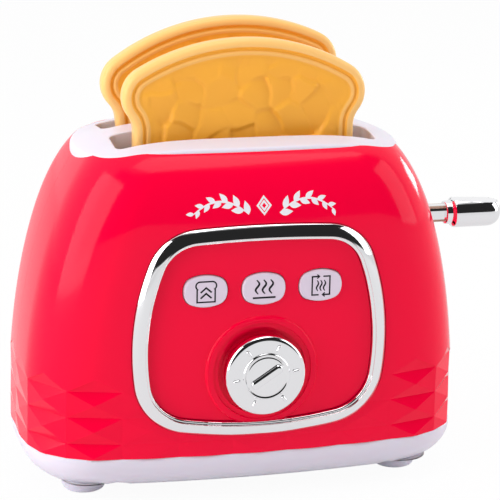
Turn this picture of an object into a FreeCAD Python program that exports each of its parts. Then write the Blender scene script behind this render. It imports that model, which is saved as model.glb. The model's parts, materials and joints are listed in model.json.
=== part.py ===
"""Toy pop-up toaster: two slices on a sprung carriage, a wind-up timer and three push buttons.

Units are millimetres. +Z is up, the control panel faces -Y and the lever is at +X.
Everything is drawn about the body's own centre line, and set_down() moves each part at the end
so that the origin is the middle of the whole toy's footprint, on the floor.
"""
import FreeCAD, Part
import math
import os

from FreeCAD import Vector

# Body shells
BODY_HALF_LENGTH = 95.0
BODY_HALF_DEPTH = 53.0
FRONT_BOW_R = 527.0
END_BOW_R = 300.0
BODY_CORNER_R = 32.0
WALL = 2.2
SEAM_Z = 21.3
SHELL_TOP_Z = 146.0
END_LEAN = 44.5
END_LEAN_START_Z = 25.0
END_LEAN_END_Z = 151.7
FRONT_LEAN = 20.0
FRONT_LEAN_START_Z = 112.0
FRONT_LEAN_END_Z = 147.0
SHELL_SECTIONS = 11

# Base and feet
BASE_INSET = 0.6
BASE_FLOOR_Z = 8.5
BASE_FLOOR = 2.2
BASE_UNDERCUT = 10.5
BASE_LIP_H = 3.0
BASE_LIP = 1.6
FOOT_END_INSET = 26.0
FOOT_SIDE_INSET = 22.5
FOOT_X = BODY_HALF_LENGTH - FOOT_END_INSET
FOOT_Y = BODY_HALF_DEPTH - FOOT_SIDE_INSET
FOOT_TOP_R = 11.0
FOOT_PAD_R = 8.5
FOOT_ROUND = 2.2

# Top trim and its two slots
TRIM_END_INSET = 25.4
TRIM_SIDE_INSET = 15.6
TRIM_HALF_LENGTH = BODY_HALF_LENGTH - TRIM_END_INSET
TRIM_HALF_DEPTH = BODY_HALF_DEPTH - TRIM_SIDE_INSET
TRIM_CORNER_R = 17.0
TRIM_END_R = 62.0
TRIM_TOP_Z = 151.7
TRIM_END_DROP = 8.7
TRIM_SIDE_DROP = 0.003
TRIM_SHEET = 3.2
SHELL_LEDGE = 2.6
TRIM_GAP = 0.15
SLOT_END_INSET = 14.2
SLOT_HALF_LENGTH = TRIM_HALF_LENGTH - SLOT_END_INSET
SLOT_CENTRE_Y = 15.9
SLOT_WIDTH = 18.8
SLOT_CORNER_R = 3.5
CHUTE_WALL = 1.2
CHUTE_BOTTOM_Z = 126.0

# Bezel ring and control panel, both bent to the front wall's bow
BEZEL_HALF_WIDTH = 54.0
BEZEL_LOW_Z = 29.3
BEZEL_HIGH_Z = 119.4
BEZEL_WIDE_Z = 67.0
BEZEL_SIDE_R = 105.0
BEZEL_LOW_R = 210.0
BEZEL_HIGH_R = 380.0
BEZEL_LOW_CORNER_R = 24.0
BEZEL_HIGH_CORNER_R = 22.0
BEZEL_WIDTH = 6.3
BEZEL_PROUD = 2.8
BEZEL_OUTER_ROUND = 2.2
BEZEL_INNER_ROUND = 1.4
BEZEL_GROOVE = 0.3
PANEL_SINK = 0.2
PANEL_SKIN = 2.0
PANEL_FLANGE = 3.0
PANEL_GAP = 0.2
PANEL_BOSS_R = 2.8

# Timer knob and the well it sits in
KNOB_Z = 57.2
KNOB_R = 17.0
KNOB_PROUD = 7.5
KNOB_FACE_Y = -BODY_HALF_DEPTH - KNOB_PROUD
KNOB_BEVEL = 2.2
KNOB_BEVEL_DEPTH = 1.8
KNOB_DISC_R = 9.7
KNOB_DISC_H = 0.7
KNOB_BAR_LENGTH = 14.5
KNOB_BAR_WIDTH = 2.4
KNOB_BAR_H = 1.3
KNOB_BAR_TILT = 33.0
KNOB_MARK_R = 12.6
KNOB_MARK_LENGTH = 2.8
KNOB_MARK_WIDTH = 1.2
KNOB_MARKS = 6
KNOB_MARK_TURN = 7.0
WELL_R = 18.7
WELL_DEPTH = 1.5
RIDGE_R = 22.0
RIDGE_WIDTH = 2.2
RIDGE_H = 0.8

# Push buttons
BUTTON_PITCH = 24.2
BUTTON_Z = 92.6
BUTTON_HALF_WIDTH = 9.1
BUTTON_HALF_HEIGHT = 6.7
BUTTON_PROUD = 1.3
BUTTON_GAP = 0.35
BUTTON_FLANGE = 1.4
BUTTON_FLANGE_T = 1.2
BUTTON_FLANGE_CLEAR = 1.0
BUTTON_STEM_R = 1.6
BUTTON_TRAVEL = 1.5
BRACKET_DEPTH = 10.5
BRACKET_Y = -BODY_HALF_DEPTH + BRACKET_DEPTH
BRACKET_T = 1.5
BRACKET_END = 3.5
BRACKET_HALF_HEIGHT = 6.0
BRACKET_POST_X = 37.5
BRACKET_HALF_LENGTH = BRACKET_POST_X + BRACKET_END

# Clockwork behind the knob
SHAFT_R = 2.5
SHAFT_RUN = 0.05
SHAFT_END_ROOM = 0.3
PLATE_T = 1.2
FRONT_PLATE_DEPTH = 6.8
PLATE_SPACING = 15.8
FRONT_PLATE_Y = -BODY_HALF_DEPTH + FRONT_PLATE_DEPTH
REAR_PLATE_Y = FRONT_PLATE_Y + PLATE_SPACING
PLATE_LEFT = -20.0
PLATE_RIGHT = 36.5
PLATE_BELOW_KNOB = 18.2
PLATE_ABOVE_KNOB = 21.8
PLATE_LOW_Z = KNOB_Z - PLATE_BELOW_KNOB
PLATE_HIGH_Z = KNOB_Z + PLATE_ABOVE_KNOB
PILLAR_INSET = 3.0
PILLAR_R = 2.2
WHEEL_TEETH = 36
PINION_TEETH = 12
FIRST_MODULE = 0.8
SECOND_MODULE = 0.6
PRESSURE_ANGLE = 20.0
BACKLASH = 0.16
SECOND_ARBOR_AT = 20.0
GOVERNOR_AT = -60.0
ARBOR_R = 1.0
FLYWHEEL_R = 7.5
FLYWHEEL_T = 3.0
SPRING_COIL_R = 3.0
SPRING_TURNS = 4
SPRING_STEP = 2.2
SPRING_STRIP = 0.4
SPRING_WIDTH = 5.0
CAM_R = 6.0
CAM_RISE = 3.0
CAM_TURN = 300.0
CAM_ROOM = 0.4
CAM_T = 1.5
CAM_Y = REAR_PLATE_Y + PLATE_T + CAM_ROOM
SHAFT_END_Y = CAM_Y + CAM_T + SHAFT_END_ROOM
LATCH_X = 16.0
LATCH_BELOW_KNOB = 14.2
LATCH_Z = KNOB_Z - LATCH_BELOW_KNOB
LATCH_PIN_R = 1.2
LATCH_NOSE_R = 1.0
LATCH_NOSE_GAP = 0.3
LATCH_HOOK_ROOM = 2.8
LATCH_HOOK_H = 3.0
LATCH_HOOK_TIP_X = 26.4
LATCH_ARM_RIGHT_X = 22.2
LATCH_ARM = 4.0

# Slice carriage, guide rods and lever
ROD_END_INSET = 9.6
ROD_X = TRIM_HALF_LENGTH - ROD_END_INSET
ROD_R = 2.0
ROD_FOOT_Z = 12.0
ROD_TOP_COVER = 7.7
ROD_TOP_Z = TRIM_TOP_Z - ROD_TOP_COVER
ROD_RUN = 0.06
ROD_BOSS_R = 3.8
ROD_SOCKET_TOP_Z = 22.0
SHELF_TOP_Z = 97.5
SHELF_T = 2.5
TRAY_LIP_H = 4.0
TRAY_LIP = 1.5
TRAY_ROOM = 1.5
HUB_R = 4.5
HUB_DROP = 9.0
HUB_RISE = 6.5
CARRIAGE_TRAVEL = 38.0
LATCH_HOOK_Z = SHELF_TOP_Z + TRAY_LIP_H - CARRIAGE_TRAVEL + LATCH_HOOK_ROOM
LEVER_Z = 106.5
LEVER_ARM_H = 7.0
LEVER_ARM_T = 5.0
LEVER_GAP = 1.0
LEVER_LENGTH = 26.0
LEVER_START_X = BODY_HALF_LENGTH + LEVER_GAP
LEVER_END_X = LEVER_START_X + LEVER_LENGTH
LEVER_R = 6.8
LEVER_NECK_R = 5.2
LEVER_NECK = 3.0
LEVER_SOCKET = 19.0
LEVER_FACET_TILT = 14.0
LEVER_SLOT_GAP = 0.7
CATCH_ROOM = 0.6
CATCH_X = LATCH_HOOK_TIP_X + CATCH_ROOM
CATCH_WIDTH = 4.0
CATCH_H = 4.0
RETURN_COIL_R = 3.2
RETURN_WIRE_R = 0.45
RETURN_TURNS = 12

# Bread slices
SLICE_END_ROOM = 3.6
SLICE_WAIST = 4.8
TRAY_END_ROOM = 5.0
SLICE_HALF_WIDTH = SLOT_HALF_LENGTH - SLICE_END_ROOM
SLICE_NECK_HALF = SLICE_HALF_WIDTH - SLICE_WAIST
TRAY_HALF_LENGTH = SLICE_NECK_HALF + TRAY_END_ROOM
SLICE_HEIGHT = 92.0
SLICE_CROWN_R = 90.0
SLICE_SHOULDER_R = 13.0
SLICE_NECK_R = 10.0
SLICE_FOOT_R = 8.0
SLICE_T = 9.0
SLICE_ROUND = 2.6
SLICE_RIM = 4.6
SLICE_SINK = 0.7
REAR_SLICE_TILT = 5.8
REAR_SLICE_SHIFT = 4.1

# Fasteners
SCREW_R = 1.1
SCREW_HEAD_R = 2.2
SCREW_HEAD_H = 1.5
SHELL_BOSS_R = 4.0
SHELL_SCREWS = ((BODY_HALF_LENGTH - 21.0, 40.0), (BODY_HALF_LENGTH - 23.0, 120.0))
SHELL_BOSS_REACH = 14.0
SHELL_HEAD_SEAT_Y = 10.0
BASE_SCREW_INSET = 15.0
BASE_SCREW_X = BODY_HALF_LENGTH - BASE_SCREW_INSET
BASE_SCREW_Y = 8.0
BASE_BOSS_TOP_Z = 34.0
TRIM_SCREW_X = 40.0
TRIM_SCREW_INSET = 6.8
TRIM_SCREW_Y = TRIM_HALF_DEPTH - TRIM_SCREW_INSET
TRIM_TAB_DROP = 12.9
TRIM_TAB_Z = TRIM_TOP_Z - TRIM_TAB_DROP
TRIM_TAB_T = 2.2
PANEL_SCREW_OUTSET = 6.5
PANEL_SCREW_X = BEZEL_HALF_WIDTH + PANEL_SCREW_OUTSET
PANEL_SCREWS_Z = (50.0, 92.0)
PANEL_EAR_R = 3.6
PANEL_EAR_BACK = 7.0

X, Y, Z = Vector(1, 0, 0), Vector(0, 1, 0), Vector(0, 0, 1)


# Outlines

def tangent_corner(low, low_r, side, side_r, r):
    """Centre of a corner arc of radius r that runs tangent inside two larger arcs."""
    gap = math.dist(low, side)
    along = ((low_r - r) ** 2 - (side_r - r) ** 2 + gap ** 2) / (2 * gap)
    off = math.sqrt((low_r - r) ** 2 - along ** 2)
    ux, uy = (side[0] - low[0]) / gap, (side[1] - low[1]) / gap
    spots = [(low[0] + ux * along + s * uy * off, low[1] + uy * along - s * ux * off) for s in (1, -1)]
    return max(spots)


def meet(centre, r, other):
    """Point of the circle round centre that lies on the line from other through centre."""
    d = math.dist(centre, other)
    return (centre[0] + (centre[0] - other[0]) / d * r, centre[1] + (centre[1] - other[1]) / d * r)


class Outline:
    """Closed outline of eight tangent arcs, the same on both sides of u = 0."""

    def __init__(self, half, low, high, wide, low_r, high_r, side_r, low_corner, high_corner):
        self.sizes = (half, low, high, wide, low_r, high_r, side_r, low_corner, high_corner)

    def inset(self, w):
        half, low, high, wide, low_r, high_r, side_r, low_corner, high_corner = self.sizes
        return Outline(half - w, low + w, high - w, wide,
                       low_r - w, high_r - w, side_r - w, low_corner - w, high_corner - w)

    def arcs(self):
        """Start, middle and end of each arc, in order round the outline."""
        half, low, high, wide, low_r, high_r, side_r, low_corner, high_corner = self.sizes
        low_c, high_c, side_c = (0, low + low_r), (0, high - high_r), (half - side_r, wide)
        corner_l = tangent_corner(low_c, low_r, side_c, side_r, low_corner)
        mirrored = tangent_corner((0, -high_c[1]), high_r, (side_c[0], -wide), side_r, high_corner)
        corner_h = (mirrored[0], -mirrored[1])
        a = meet(corner_l, low_corner, low_c)
        b = meet(corner_l, low_corner, side_c)
        c = meet(corner_h, high_corner, side_c)
        d = meet(corner_h, high_corner, high_c)

        def bulge(centre, r, p, q):
            m = ((p[0] + q[0]) / 2, (p[1] + q[1]) / 2)
            return meet(centre, r, (2 * centre[0] - m[0], 2 * centre[1] - m[1]))

        right = [(a, bulge(corner_l, low_corner, a, b), b),
                 (b, bulge(side_c, side_r, b, c), c),
                 (c, bulge(corner_h, high_corner, c, d), d)]
        left = [tuple((-u, v) for u, v in reversed(arc)) for arc in reversed(right)]
        return [((-a[0], a[1]), (0, low), a)] + right + [(d, (0, high), (-d[0], d[1]))] + left

    def wire(self, place):
        return Part.Wire([Part.Arc(*[place(u, v) for u, v in arc]).toShape() for arc in self.arcs()])


def body_oval(half_x, half_y, corner, front_r=FRONT_BOW_R, end_r=END_BOW_R):
    return Outline(half_x, -half_y, half_y, 0.0, front_r, front_r, end_r, corner, corner)


def flat_wire(outline, z):
    return outline.wire(lambda u, v: Vector(u, v, z))


def upright_wire(outline, y, x=0.0, z=0.0):
    return outline.wire(lambda u, v: Vector(x + u, y, z + v))


def prism(wire, along):
    return Part.Face(wire).extrude(along)


def rod(r, start, end):
    """Round bar from one point to another."""
    start, end = Vector(*start), Vector(*end)
    return Part.makeCylinder(r, (end - start).Length, start, end - start)


def tube(r, bore, start, end):
    return rod(r, start, end).cut(rod(bore, start, end))


def smooth_loft(sections):
    """Solid through the sections; cubic at most, so that it doesn't ripple between them."""
    return Part.makeLoft(sections, True, False, False, 3)


def block(x, y, z):
    """Box given by its low and high value along each axis."""
    return Part.makeBox(x[1] - x[0], y[1] - y[0], z[1] - z[0], Vector(x[0], y[0], z[0]))


def joined(shapes):
    shape = shapes[0].fuse(shapes[1:]) if len(shapes) > 1 else shapes[0]
    return shape.removeSplitter()


def both_sides(make):
    return [make(side) for side in (-1, 1)]


def rounded(shape, radius, chosen):
    """Fillet the edges that chosen accepts, if there are any."""
    edges = [edge for edge in shape.Edges if chosen(edge)]
    return shape.makeFillet(radius, edges) if edges else shape


# Surfaces that several parts share

def lean(z, amount, start, end):
    """How far a wall has curved inwards at height z: a quarter ellipse from start to end."""
    t = min(1.0, max(0.0, (z - start) / (end - start)))
    return amount * (1 - math.sqrt(1 - t * t))


def shell_section(z, skin=0.0):
    half_x = BODY_HALF_LENGTH - lean(z, END_LEAN, END_LEAN_START_Z, END_LEAN_END_Z)
    half_y = BODY_HALF_DEPTH - lean(z, FRONT_LEAN, FRONT_LEAN_START_Z, FRONT_LEAN_END_Z)
    corner = BODY_CORNER_R * half_y / BODY_HALF_DEPTH
    return flat_wire(body_oval(half_x, half_y, corner).inset(skin), z)


def shell_loft(skin, low, high):
    """Solid of the body's outer shape, or of the space inside a wall of thickness skin."""
    turns = [k / (SHELL_SECTIONS - 1) * math.pi / 2 for k in range(SHELL_SECTIONS)]
    return smooth_loft([shell_section(low + (high - low) * math.sin(turn), skin) for turn in turns])


def bow_slab(front, back, low, high):
    """Slab bent to the front wall, between two depths measured outwards from its face."""
    axis = Vector(0, FRONT_BOW_R - BODY_HALF_DEPTH, low)
    slab = Part.makeCylinder(FRONT_BOW_R + front, high - low, axis)
    slab = slab.cut(Part.makeCylinder(FRONT_BOW_R + back, high - low, axis))
    reach = BODY_HALF_LENGTH
    return slab.common(block((-reach, reach), (-BODY_HALF_DEPTH - reach, 0), (low, high)))


def bow_y(x, proud=0.0):
    """Y of the bowed front at x."""
    return FRONT_BOW_R - BODY_HALF_DEPTH - math.sqrt((FRONT_BOW_R + proud) ** 2 - x * x)


def dome_z(x, y):
    return TRIM_TOP_Z - TRIM_END_DROP * (x / TRIM_HALF_LENGTH) ** 4 - TRIM_SIDE_DROP * y * y


def dome_below(drop, depth):
    """Solid under the trim's domed face, lowered by drop."""
    nx, ny = 17, 9
    half_x, half_y = TRIM_HALF_LENGTH + 4, TRIM_HALF_DEPTH + 4
    grid = [[Vector(x, y, dome_z(x, y) - drop)
             for y in [half_y * (2 * j / (ny - 1) - 1) for j in range(ny)]]
            for x in [half_x * (2 * i / (nx - 1) - 1) for i in range(nx)]]
    surface = Part.BSplineSurface()
    surface.interpolate(grid)
    return surface.toShape().extrude(Vector(0, 0, -depth))


BEZEL_OUTLINE = Outline(BEZEL_HALF_WIDTH, BEZEL_LOW_Z, BEZEL_HIGH_Z, BEZEL_WIDE_Z, BEZEL_LOW_R,
                        BEZEL_HIGH_R, BEZEL_SIDE_R, BEZEL_LOW_CORNER_R, BEZEL_HIGH_CORNER_R)
BUTTON_OUTLINE = Outline(BUTTON_HALF_WIDTH, -BUTTON_HALF_HEIGHT, BUTTON_HALF_HEIGHT, 0.0,
                         16.0, 16.0, 8.0, 4.6, 4.6)
PANEL_BACK_Y = -BODY_HALF_DEPTH + WALL + PANEL_SKIN
PANEL_SKIN_BACK_Y = -BODY_HALF_DEPTH + PANEL_SINK + PANEL_SKIN
WELL_FLOOR_Y = -BODY_HALF_DEPTH + PANEL_SINK + WELL_DEPTH
FRONT_DEEP = 30.0


def panel_prism(outline):
    return prism(upright_wire(outline, -BODY_HALF_DEPTH - FRONT_DEEP / 2), Y * FRONT_DEEP)


# Shells

def panel_ear_spots():
    return [(side * PANEL_SCREW_X, z) for z in PANEL_SCREWS_Z for side in (-1, 1)]


def shell_pair():
    outer = shell_loft(0.0, SEAM_Z, SHELL_TOP_Z)
    inside = shell_loft(WALL, SEAM_Z, SHELL_TOP_Z - WALL)
    skirt = prism(shell_section(SEAM_Z, WALL), Z * WALL)
    skirt.translate(Z * -WALL / 2)
    hollow = outer.cut(inside).cut(skirt)

    extras = []
    for side in (-1, 1):
        for x, z in SHELL_SCREWS:
            wall_x = BODY_HALF_LENGTH - lean(z, END_LEAN, END_LEAN_START_Z, END_LEAN_END_Z) - WALL / 2
            extras.append(rod(SHELL_BOSS_R, (side * x, -SHELL_BOSS_REACH, z), (side * x, BODY_HALF_DEPTH, z)))
            low, high = sorted((side * x, side * wall_x))
            extras.append(block((low, high), (-SHELL_BOSS_REACH, SHELL_BOSS_REACH), (z - 1, z + 1)))
        for way in (-1, 1):
            at = (side * BASE_SCREW_X, way * BASE_SCREW_Y)
            extras.append(rod(SHELL_BOSS_R, (*at, BASE_FLOOR_Z + BASE_FLOOR), (*at, BASE_BOSS_TOP_Z)))
            low, high = sorted((at[0], side * (BODY_HALF_LENGTH - WALL / 2)))
            extras.append(block((low, high), (at[1] - 1, at[1] + 1),
                                (SEAM_Z + BASE_LIP_H + 0.5, BASE_BOSS_TOP_Z)))
            low, high = sorted((way * (SLOT_CENTRE_Y + SLOT_WIDTH / 2 + CHUTE_WALL + 0.4),
                                way * BODY_HALF_DEPTH))
            extras.append(block((side * TRIM_SCREW_X - 5, side * TRIM_SCREW_X + 5), (low, high),
                                (TRIM_TAB_Z, TRIM_TAB_Z + TRIM_TAB_T)))
    for x, z in panel_ear_spots():
        extras.append(rod(PANEL_BOSS_R, (x, -BODY_HALF_DEPTH, z), (x, panel_ear_y(), z)))
    limit = shell_loft(WALL / 2, SEAM_Z, SHELL_TOP_Z - WALL / 2)
    limit = limit.fuse(prism(shell_section(SEAM_Z, WALL / 2), Z * (BASE_FLOOR_Z + BASE_FLOOR - SEAM_Z)))
    hollow = joined([hollow] + [piece.common(limit) for piece in extras])

    mouth = body_oval(TRIM_HALF_LENGTH, TRIM_HALF_DEPTH, TRIM_CORNER_R, end_r=TRIM_END_R).inset(SHELL_LEDGE)
    hollow = hollow.cut(prism(flat_wire(mouth, TRIM_TAB_Z + TRIM_TAB_T), Z * TRIM_TOP_Z))
    for side in (-1, 1):
        for x, z in SHELL_SCREWS:
            at = (side * x, z)
            hollow = hollow.cut(rod(SCREW_R, (at[0], 1 - SHELL_BOSS_REACH, at[1]),
                                    (at[0], BODY_HALF_DEPTH, at[1])))
            hollow = hollow.cut(rod(SCREW_HEAD_R + 0.4, (at[0], SHELL_HEAD_SEAT_Y, at[1]),
                                    (at[0], BODY_HALF_DEPTH + WALL, at[1])))
        for way in (-1, 1):
            at = (side * BASE_SCREW_X, way * BASE_SCREW_Y)
            hollow = hollow.cut(rod(SCREW_R, (*at, 0), (*at, BASE_BOSS_TOP_Z - 2)))
            at = (side * TRIM_SCREW_X, way * TRIM_SCREW_Y)
            hollow = hollow.cut(rod(SCREW_R, (*at, TRIM_TAB_Z - 1), (*at, TRIM_TAB_Z + TRIM_TAB_T + 1)))
    for x, z in panel_ear_spots():
        hollow = hollow.cut(rod(SCREW_R, (x, bow_y(x) + WALL, z), (x, 0, z)))
    hollow = hollow.cut(panel_prism(BEZEL_OUTLINE.inset(-BEZEL_GROOVE)))
    pocket = panel_prism(BEZEL_OUTLINE.inset(-PANEL_FLANGE - BEZEL_GROOVE))
    hollow = hollow.cut(pocket.common(bow_slab(-WALL, -3 * WALL, 0, SHELL_TOP_Z)))
    slot = block((ROD_X, LEVER_END_X),
                 (-LEVER_ARM_T / 2 - LEVER_SLOT_GAP, LEVER_ARM_T / 2 + LEVER_SLOT_GAP),
                 (LEVER_Z - LEVER_ARM_H / 2 - CARRIAGE_TRAVEL - LEVER_SLOT_GAP,
                  LEVER_Z + LEVER_ARM_H / 2 + LEVER_SLOT_GAP))
    hollow = hollow.cut(slot)
    far = 2 * BODY_HALF_LENGTH
    front = hollow.common(block((-far, far), (-far, 0), (-far, far)))
    rear = hollow.common(block((-far, far), (0, far), (-far, far)))
    return front, rear


def shell_screws():
    shapes = []
    for side in (-1, 1):
        for x, z in SHELL_SCREWS:
            head = rod(SCREW_HEAD_R, (side * x, SHELL_HEAD_SEAT_Y, z),
                       (side * x, SHELL_HEAD_SEAT_Y + SCREW_HEAD_H, z))
            shapes.append(head.fuse(rod(SCREW_R, (side * x, 2 - SHELL_BOSS_REACH, z),
                                        (side * x, SHELL_HEAD_SEAT_Y, z))))
    return Part.makeCompound(shapes)


# Base

def base_section(inset, z):
    return flat_wire(body_oval(BODY_HALF_LENGTH, BODY_HALF_DEPTH, BODY_CORNER_R).inset(inset), z)


def base_profile():
    """Inset and height of the base's wall, from its underside up to the seam."""
    depth = SEAM_Z - BASE_FLOOR_Z
    return [(BASE_INSET + BASE_UNDERCUT * (1 - math.sin(t * math.pi / 2)) ** 1.5, BASE_FLOOR_Z + depth * t)
            for t in (0.0, 0.12, 0.3, 0.6, 1.0)]


def base():
    wall = WALL + BASE_LIP - BASE_INSET + 0.2
    outer = smooth_loft([base_section(inset, z) for inset, z in base_profile()])
    inner = smooth_loft([base_section(inset + wall, z + BASE_FLOOR) for inset, z in base_profile()])
    shape = outer.cut(inner)
    lip = prism(base_section(WALL + 0.15, SEAM_Z - BASE_LIP), Z * (BASE_LIP_H + BASE_LIP))
    lip = lip.cut(prism(base_section(WALL + BASE_LIP, 0), Z * 2 * SEAM_Z))
    pieces = [shape, lip]
    for side in (-1, 1):
        for way in (-1, 1):
            foot = Part.makeCone(FOOT_PAD_R, FOOT_TOP_R, BASE_FLOOR_Z + BASE_FLOOR / 2,
                                 Vector(side * FOOT_X, way * FOOT_Y, 0))
            foot = rounded(foot, FOOT_ROUND, lambda edge: edge.BoundBox.ZMax < 1e-6)
            pieces.append(foot)
        pieces.append(rod(ROD_BOSS_R, (side * ROD_X, 0, BASE_FLOOR_Z), (side * ROD_X, 0, ROD_SOCKET_TOP_Z)))
    shape = joined(pieces)
    for side in (-1, 1):
        shape = shape.cut(rod(ROD_R, (side * ROD_X, 0, ROD_FOOT_Z), (side * ROD_X, 0, SEAM_Z * 2)))
        for way in (-1, 1):
            at = (side * BASE_SCREW_X, way * BASE_SCREW_Y)
            shape = shape.cut(rod(SHELL_BOSS_R + 0.3, (*at, BASE_FLOOR_Z + BASE_FLOOR), (*at, SEAM_Z * 2)))
            shape = shape.cut(rod(SCREW_R, (*at, 0), (*at, SEAM_Z)))
    return shape


def base_screws():
    shapes = []
    for side in (-1, 1):
        for way in (-1, 1):
            at = (side * BASE_SCREW_X, way * BASE_SCREW_Y)
            shapes.append(rod(SCREW_HEAD_R, (*at, BASE_FLOOR_Z - SCREW_HEAD_H), (*at, BASE_FLOOR_Z)).fuse(
                rod(SCREW_R, (*at, BASE_FLOOR_Z), (*at, BASE_BOSS_TOP_Z - 4))))
    return Part.makeCompound(shapes)


# Top trim

def slot_prism(grow, y, low, high):
    """Rounded rectangular plug of one bread slot."""
    half_x, half_y = SLOT_HALF_LENGTH + grow, SLOT_WIDTH / 2 + grow
    plug = block((-half_x, half_x), (y - half_y, y + half_y), (low, high))
    return rounded(plug, SLOT_CORNER_R + grow,
                   lambda edge: edge.BoundBox.ZLength > edge.BoundBox.XLength + edge.BoundBox.YLength)


def top_trim():
    outline = body_oval(TRIM_HALF_LENGTH, TRIM_HALF_DEPTH, TRIM_CORNER_R, end_r=TRIM_END_R)
    column = prism(flat_wire(outline, CHUTE_BOTTOM_Z), Z * (TRIM_TOP_Z - CHUTE_BOTTOM_Z + 1))
    under_face = dome_below(0.0, TRIM_TOP_Z - CHUTE_BOTTOM_Z)
    sheet = column.common(under_face).cut(dome_below(TRIM_SHEET, TRIM_TOP_Z - CHUTE_BOTTOM_Z))
    pieces = [sheet]
    for y in (-SLOT_CENTRE_Y, SLOT_CENTRE_Y):
        pieces.append(slot_prism(CHUTE_WALL, y, CHUTE_BOTTOM_Z, TRIM_TOP_Z).common(under_face))
    for side in (-1, 1):
        pieces.append(rod(ROD_BOSS_R, (side * ROD_X, 0, ROD_TOP_Z - 8),
                          (side * ROD_X, 0, TRIM_TOP_Z)).common(under_face))
        for way in (-1, 1):
            at = (side * TRIM_SCREW_X, way * TRIM_SCREW_Y)
            boss = rod(PANEL_BOSS_R, (*at, TRIM_TAB_Z + TRIM_TAB_T), (*at, TRIM_TOP_Z))
            pieces.append(boss.common(under_face))
    shape = joined(pieces)
    mouth = flat_wire(outline.inset(SHELL_LEDGE + TRIM_GAP), 0)
    body = shell_loft(0.0, SEAM_Z, SHELL_TOP_Z).cut(prism(mouth, Z * TRIM_TOP_Z))
    shape = shape.cut(body)
    for y in (-SLOT_CENTRE_Y, SLOT_CENTRE_Y):
        shape = shape.cut(slot_prism(0.0, y, CHUTE_BOTTOM_Z - 1, TRIM_TOP_Z + 1))
    for side in (-1, 1):
        shape = shape.cut(rod(ROD_R, (side * ROD_X, 0, 0), (side * ROD_X, 0, ROD_TOP_Z)))
        for way in (-1, 1):
            at = (side * TRIM_SCREW_X, way * TRIM_SCREW_Y)
            shape = shape.cut(rod(SCREW_R, (*at, 0), (*at, TRIM_TAB_Z + TRIM_TAB_T + 6)))
    return shape


def trim_screws():
    shapes = []
    for side in (-1, 1):
        for way in (-1, 1):
            at = (side * TRIM_SCREW_X, way * TRIM_SCREW_Y)
            shapes.append(rod(SCREW_HEAD_R, (*at, TRIM_TAB_Z - SCREW_HEAD_H), (*at, TRIM_TAB_Z)).fuse(
                rod(SCREW_R, (*at, TRIM_TAB_Z), (*at, TRIM_TAB_Z + TRIM_TAB_T + 5))))
    return Part.makeCompound(shapes)


# Bezel and panel

def on_bow(edge, proud):
    """Whether all of an edge lies on the bowed face that stands proud of the front wall."""
    points = [edge.valueAt(edge.FirstParameter + (edge.LastParameter - edge.FirstParameter) * t)
              for t in (0.1, 0.5, 0.9)]
    return all(abs(math.hypot(p.x, p.y - FRONT_BOW_R + BODY_HALF_DEPTH) - FRONT_BOW_R - proud) < 0.02
               for p in points)


def bezel_ring():
    ring = panel_prism(BEZEL_OUTLINE).cut(panel_prism(BEZEL_OUTLINE.inset(BEZEL_WIDTH)))
    ring = ring.common(bow_slab(BEZEL_PROUD, -WALL, 0, SHELL_TOP_Z))
    ring = rounded(ring, BEZEL_OUTER_ROUND, lambda edge: on_bow(edge, BEZEL_PROUD) and is_outer(edge))
    return rounded(ring, BEZEL_INNER_ROUND, lambda edge: on_bow(edge, BEZEL_PROUD) and is_inner(edge))


def outline_gap(outline, p):
    """Distance in the XZ plane from a point to an outline."""
    wire = upright_wire(outline, 0.0)
    return wire.distToShape(Part.Vertex(p.x, 0, p.z))[0]


def is_outer(edge):
    middle = edge.valueAt((edge.FirstParameter + edge.LastParameter) / 2)
    return outline_gap(BEZEL_OUTLINE, middle) < BEZEL_WIDTH / 2


def is_inner(edge):
    middle = edge.valueAt((edge.FirstParameter + edge.LastParameter) / 2)
    return outline_gap(BEZEL_OUTLINE.inset(BEZEL_WIDTH), middle) < 0.05


def panel_ear_y():
    """Front of the panel's screw ears, which is also the back end of the shell's bosses."""
    return -BODY_HALF_DEPTH + WALL + PANEL_EAR_BACK


def plate_corners():
    return [(x, z) for x in (PLATE_LEFT + PILLAR_INSET, PLATE_RIGHT - PILLAR_INSET)
            for z in (PLATE_LOW_Z + PILLAR_INSET, PLATE_HIGH_Z - PILLAR_INSET)]


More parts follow.
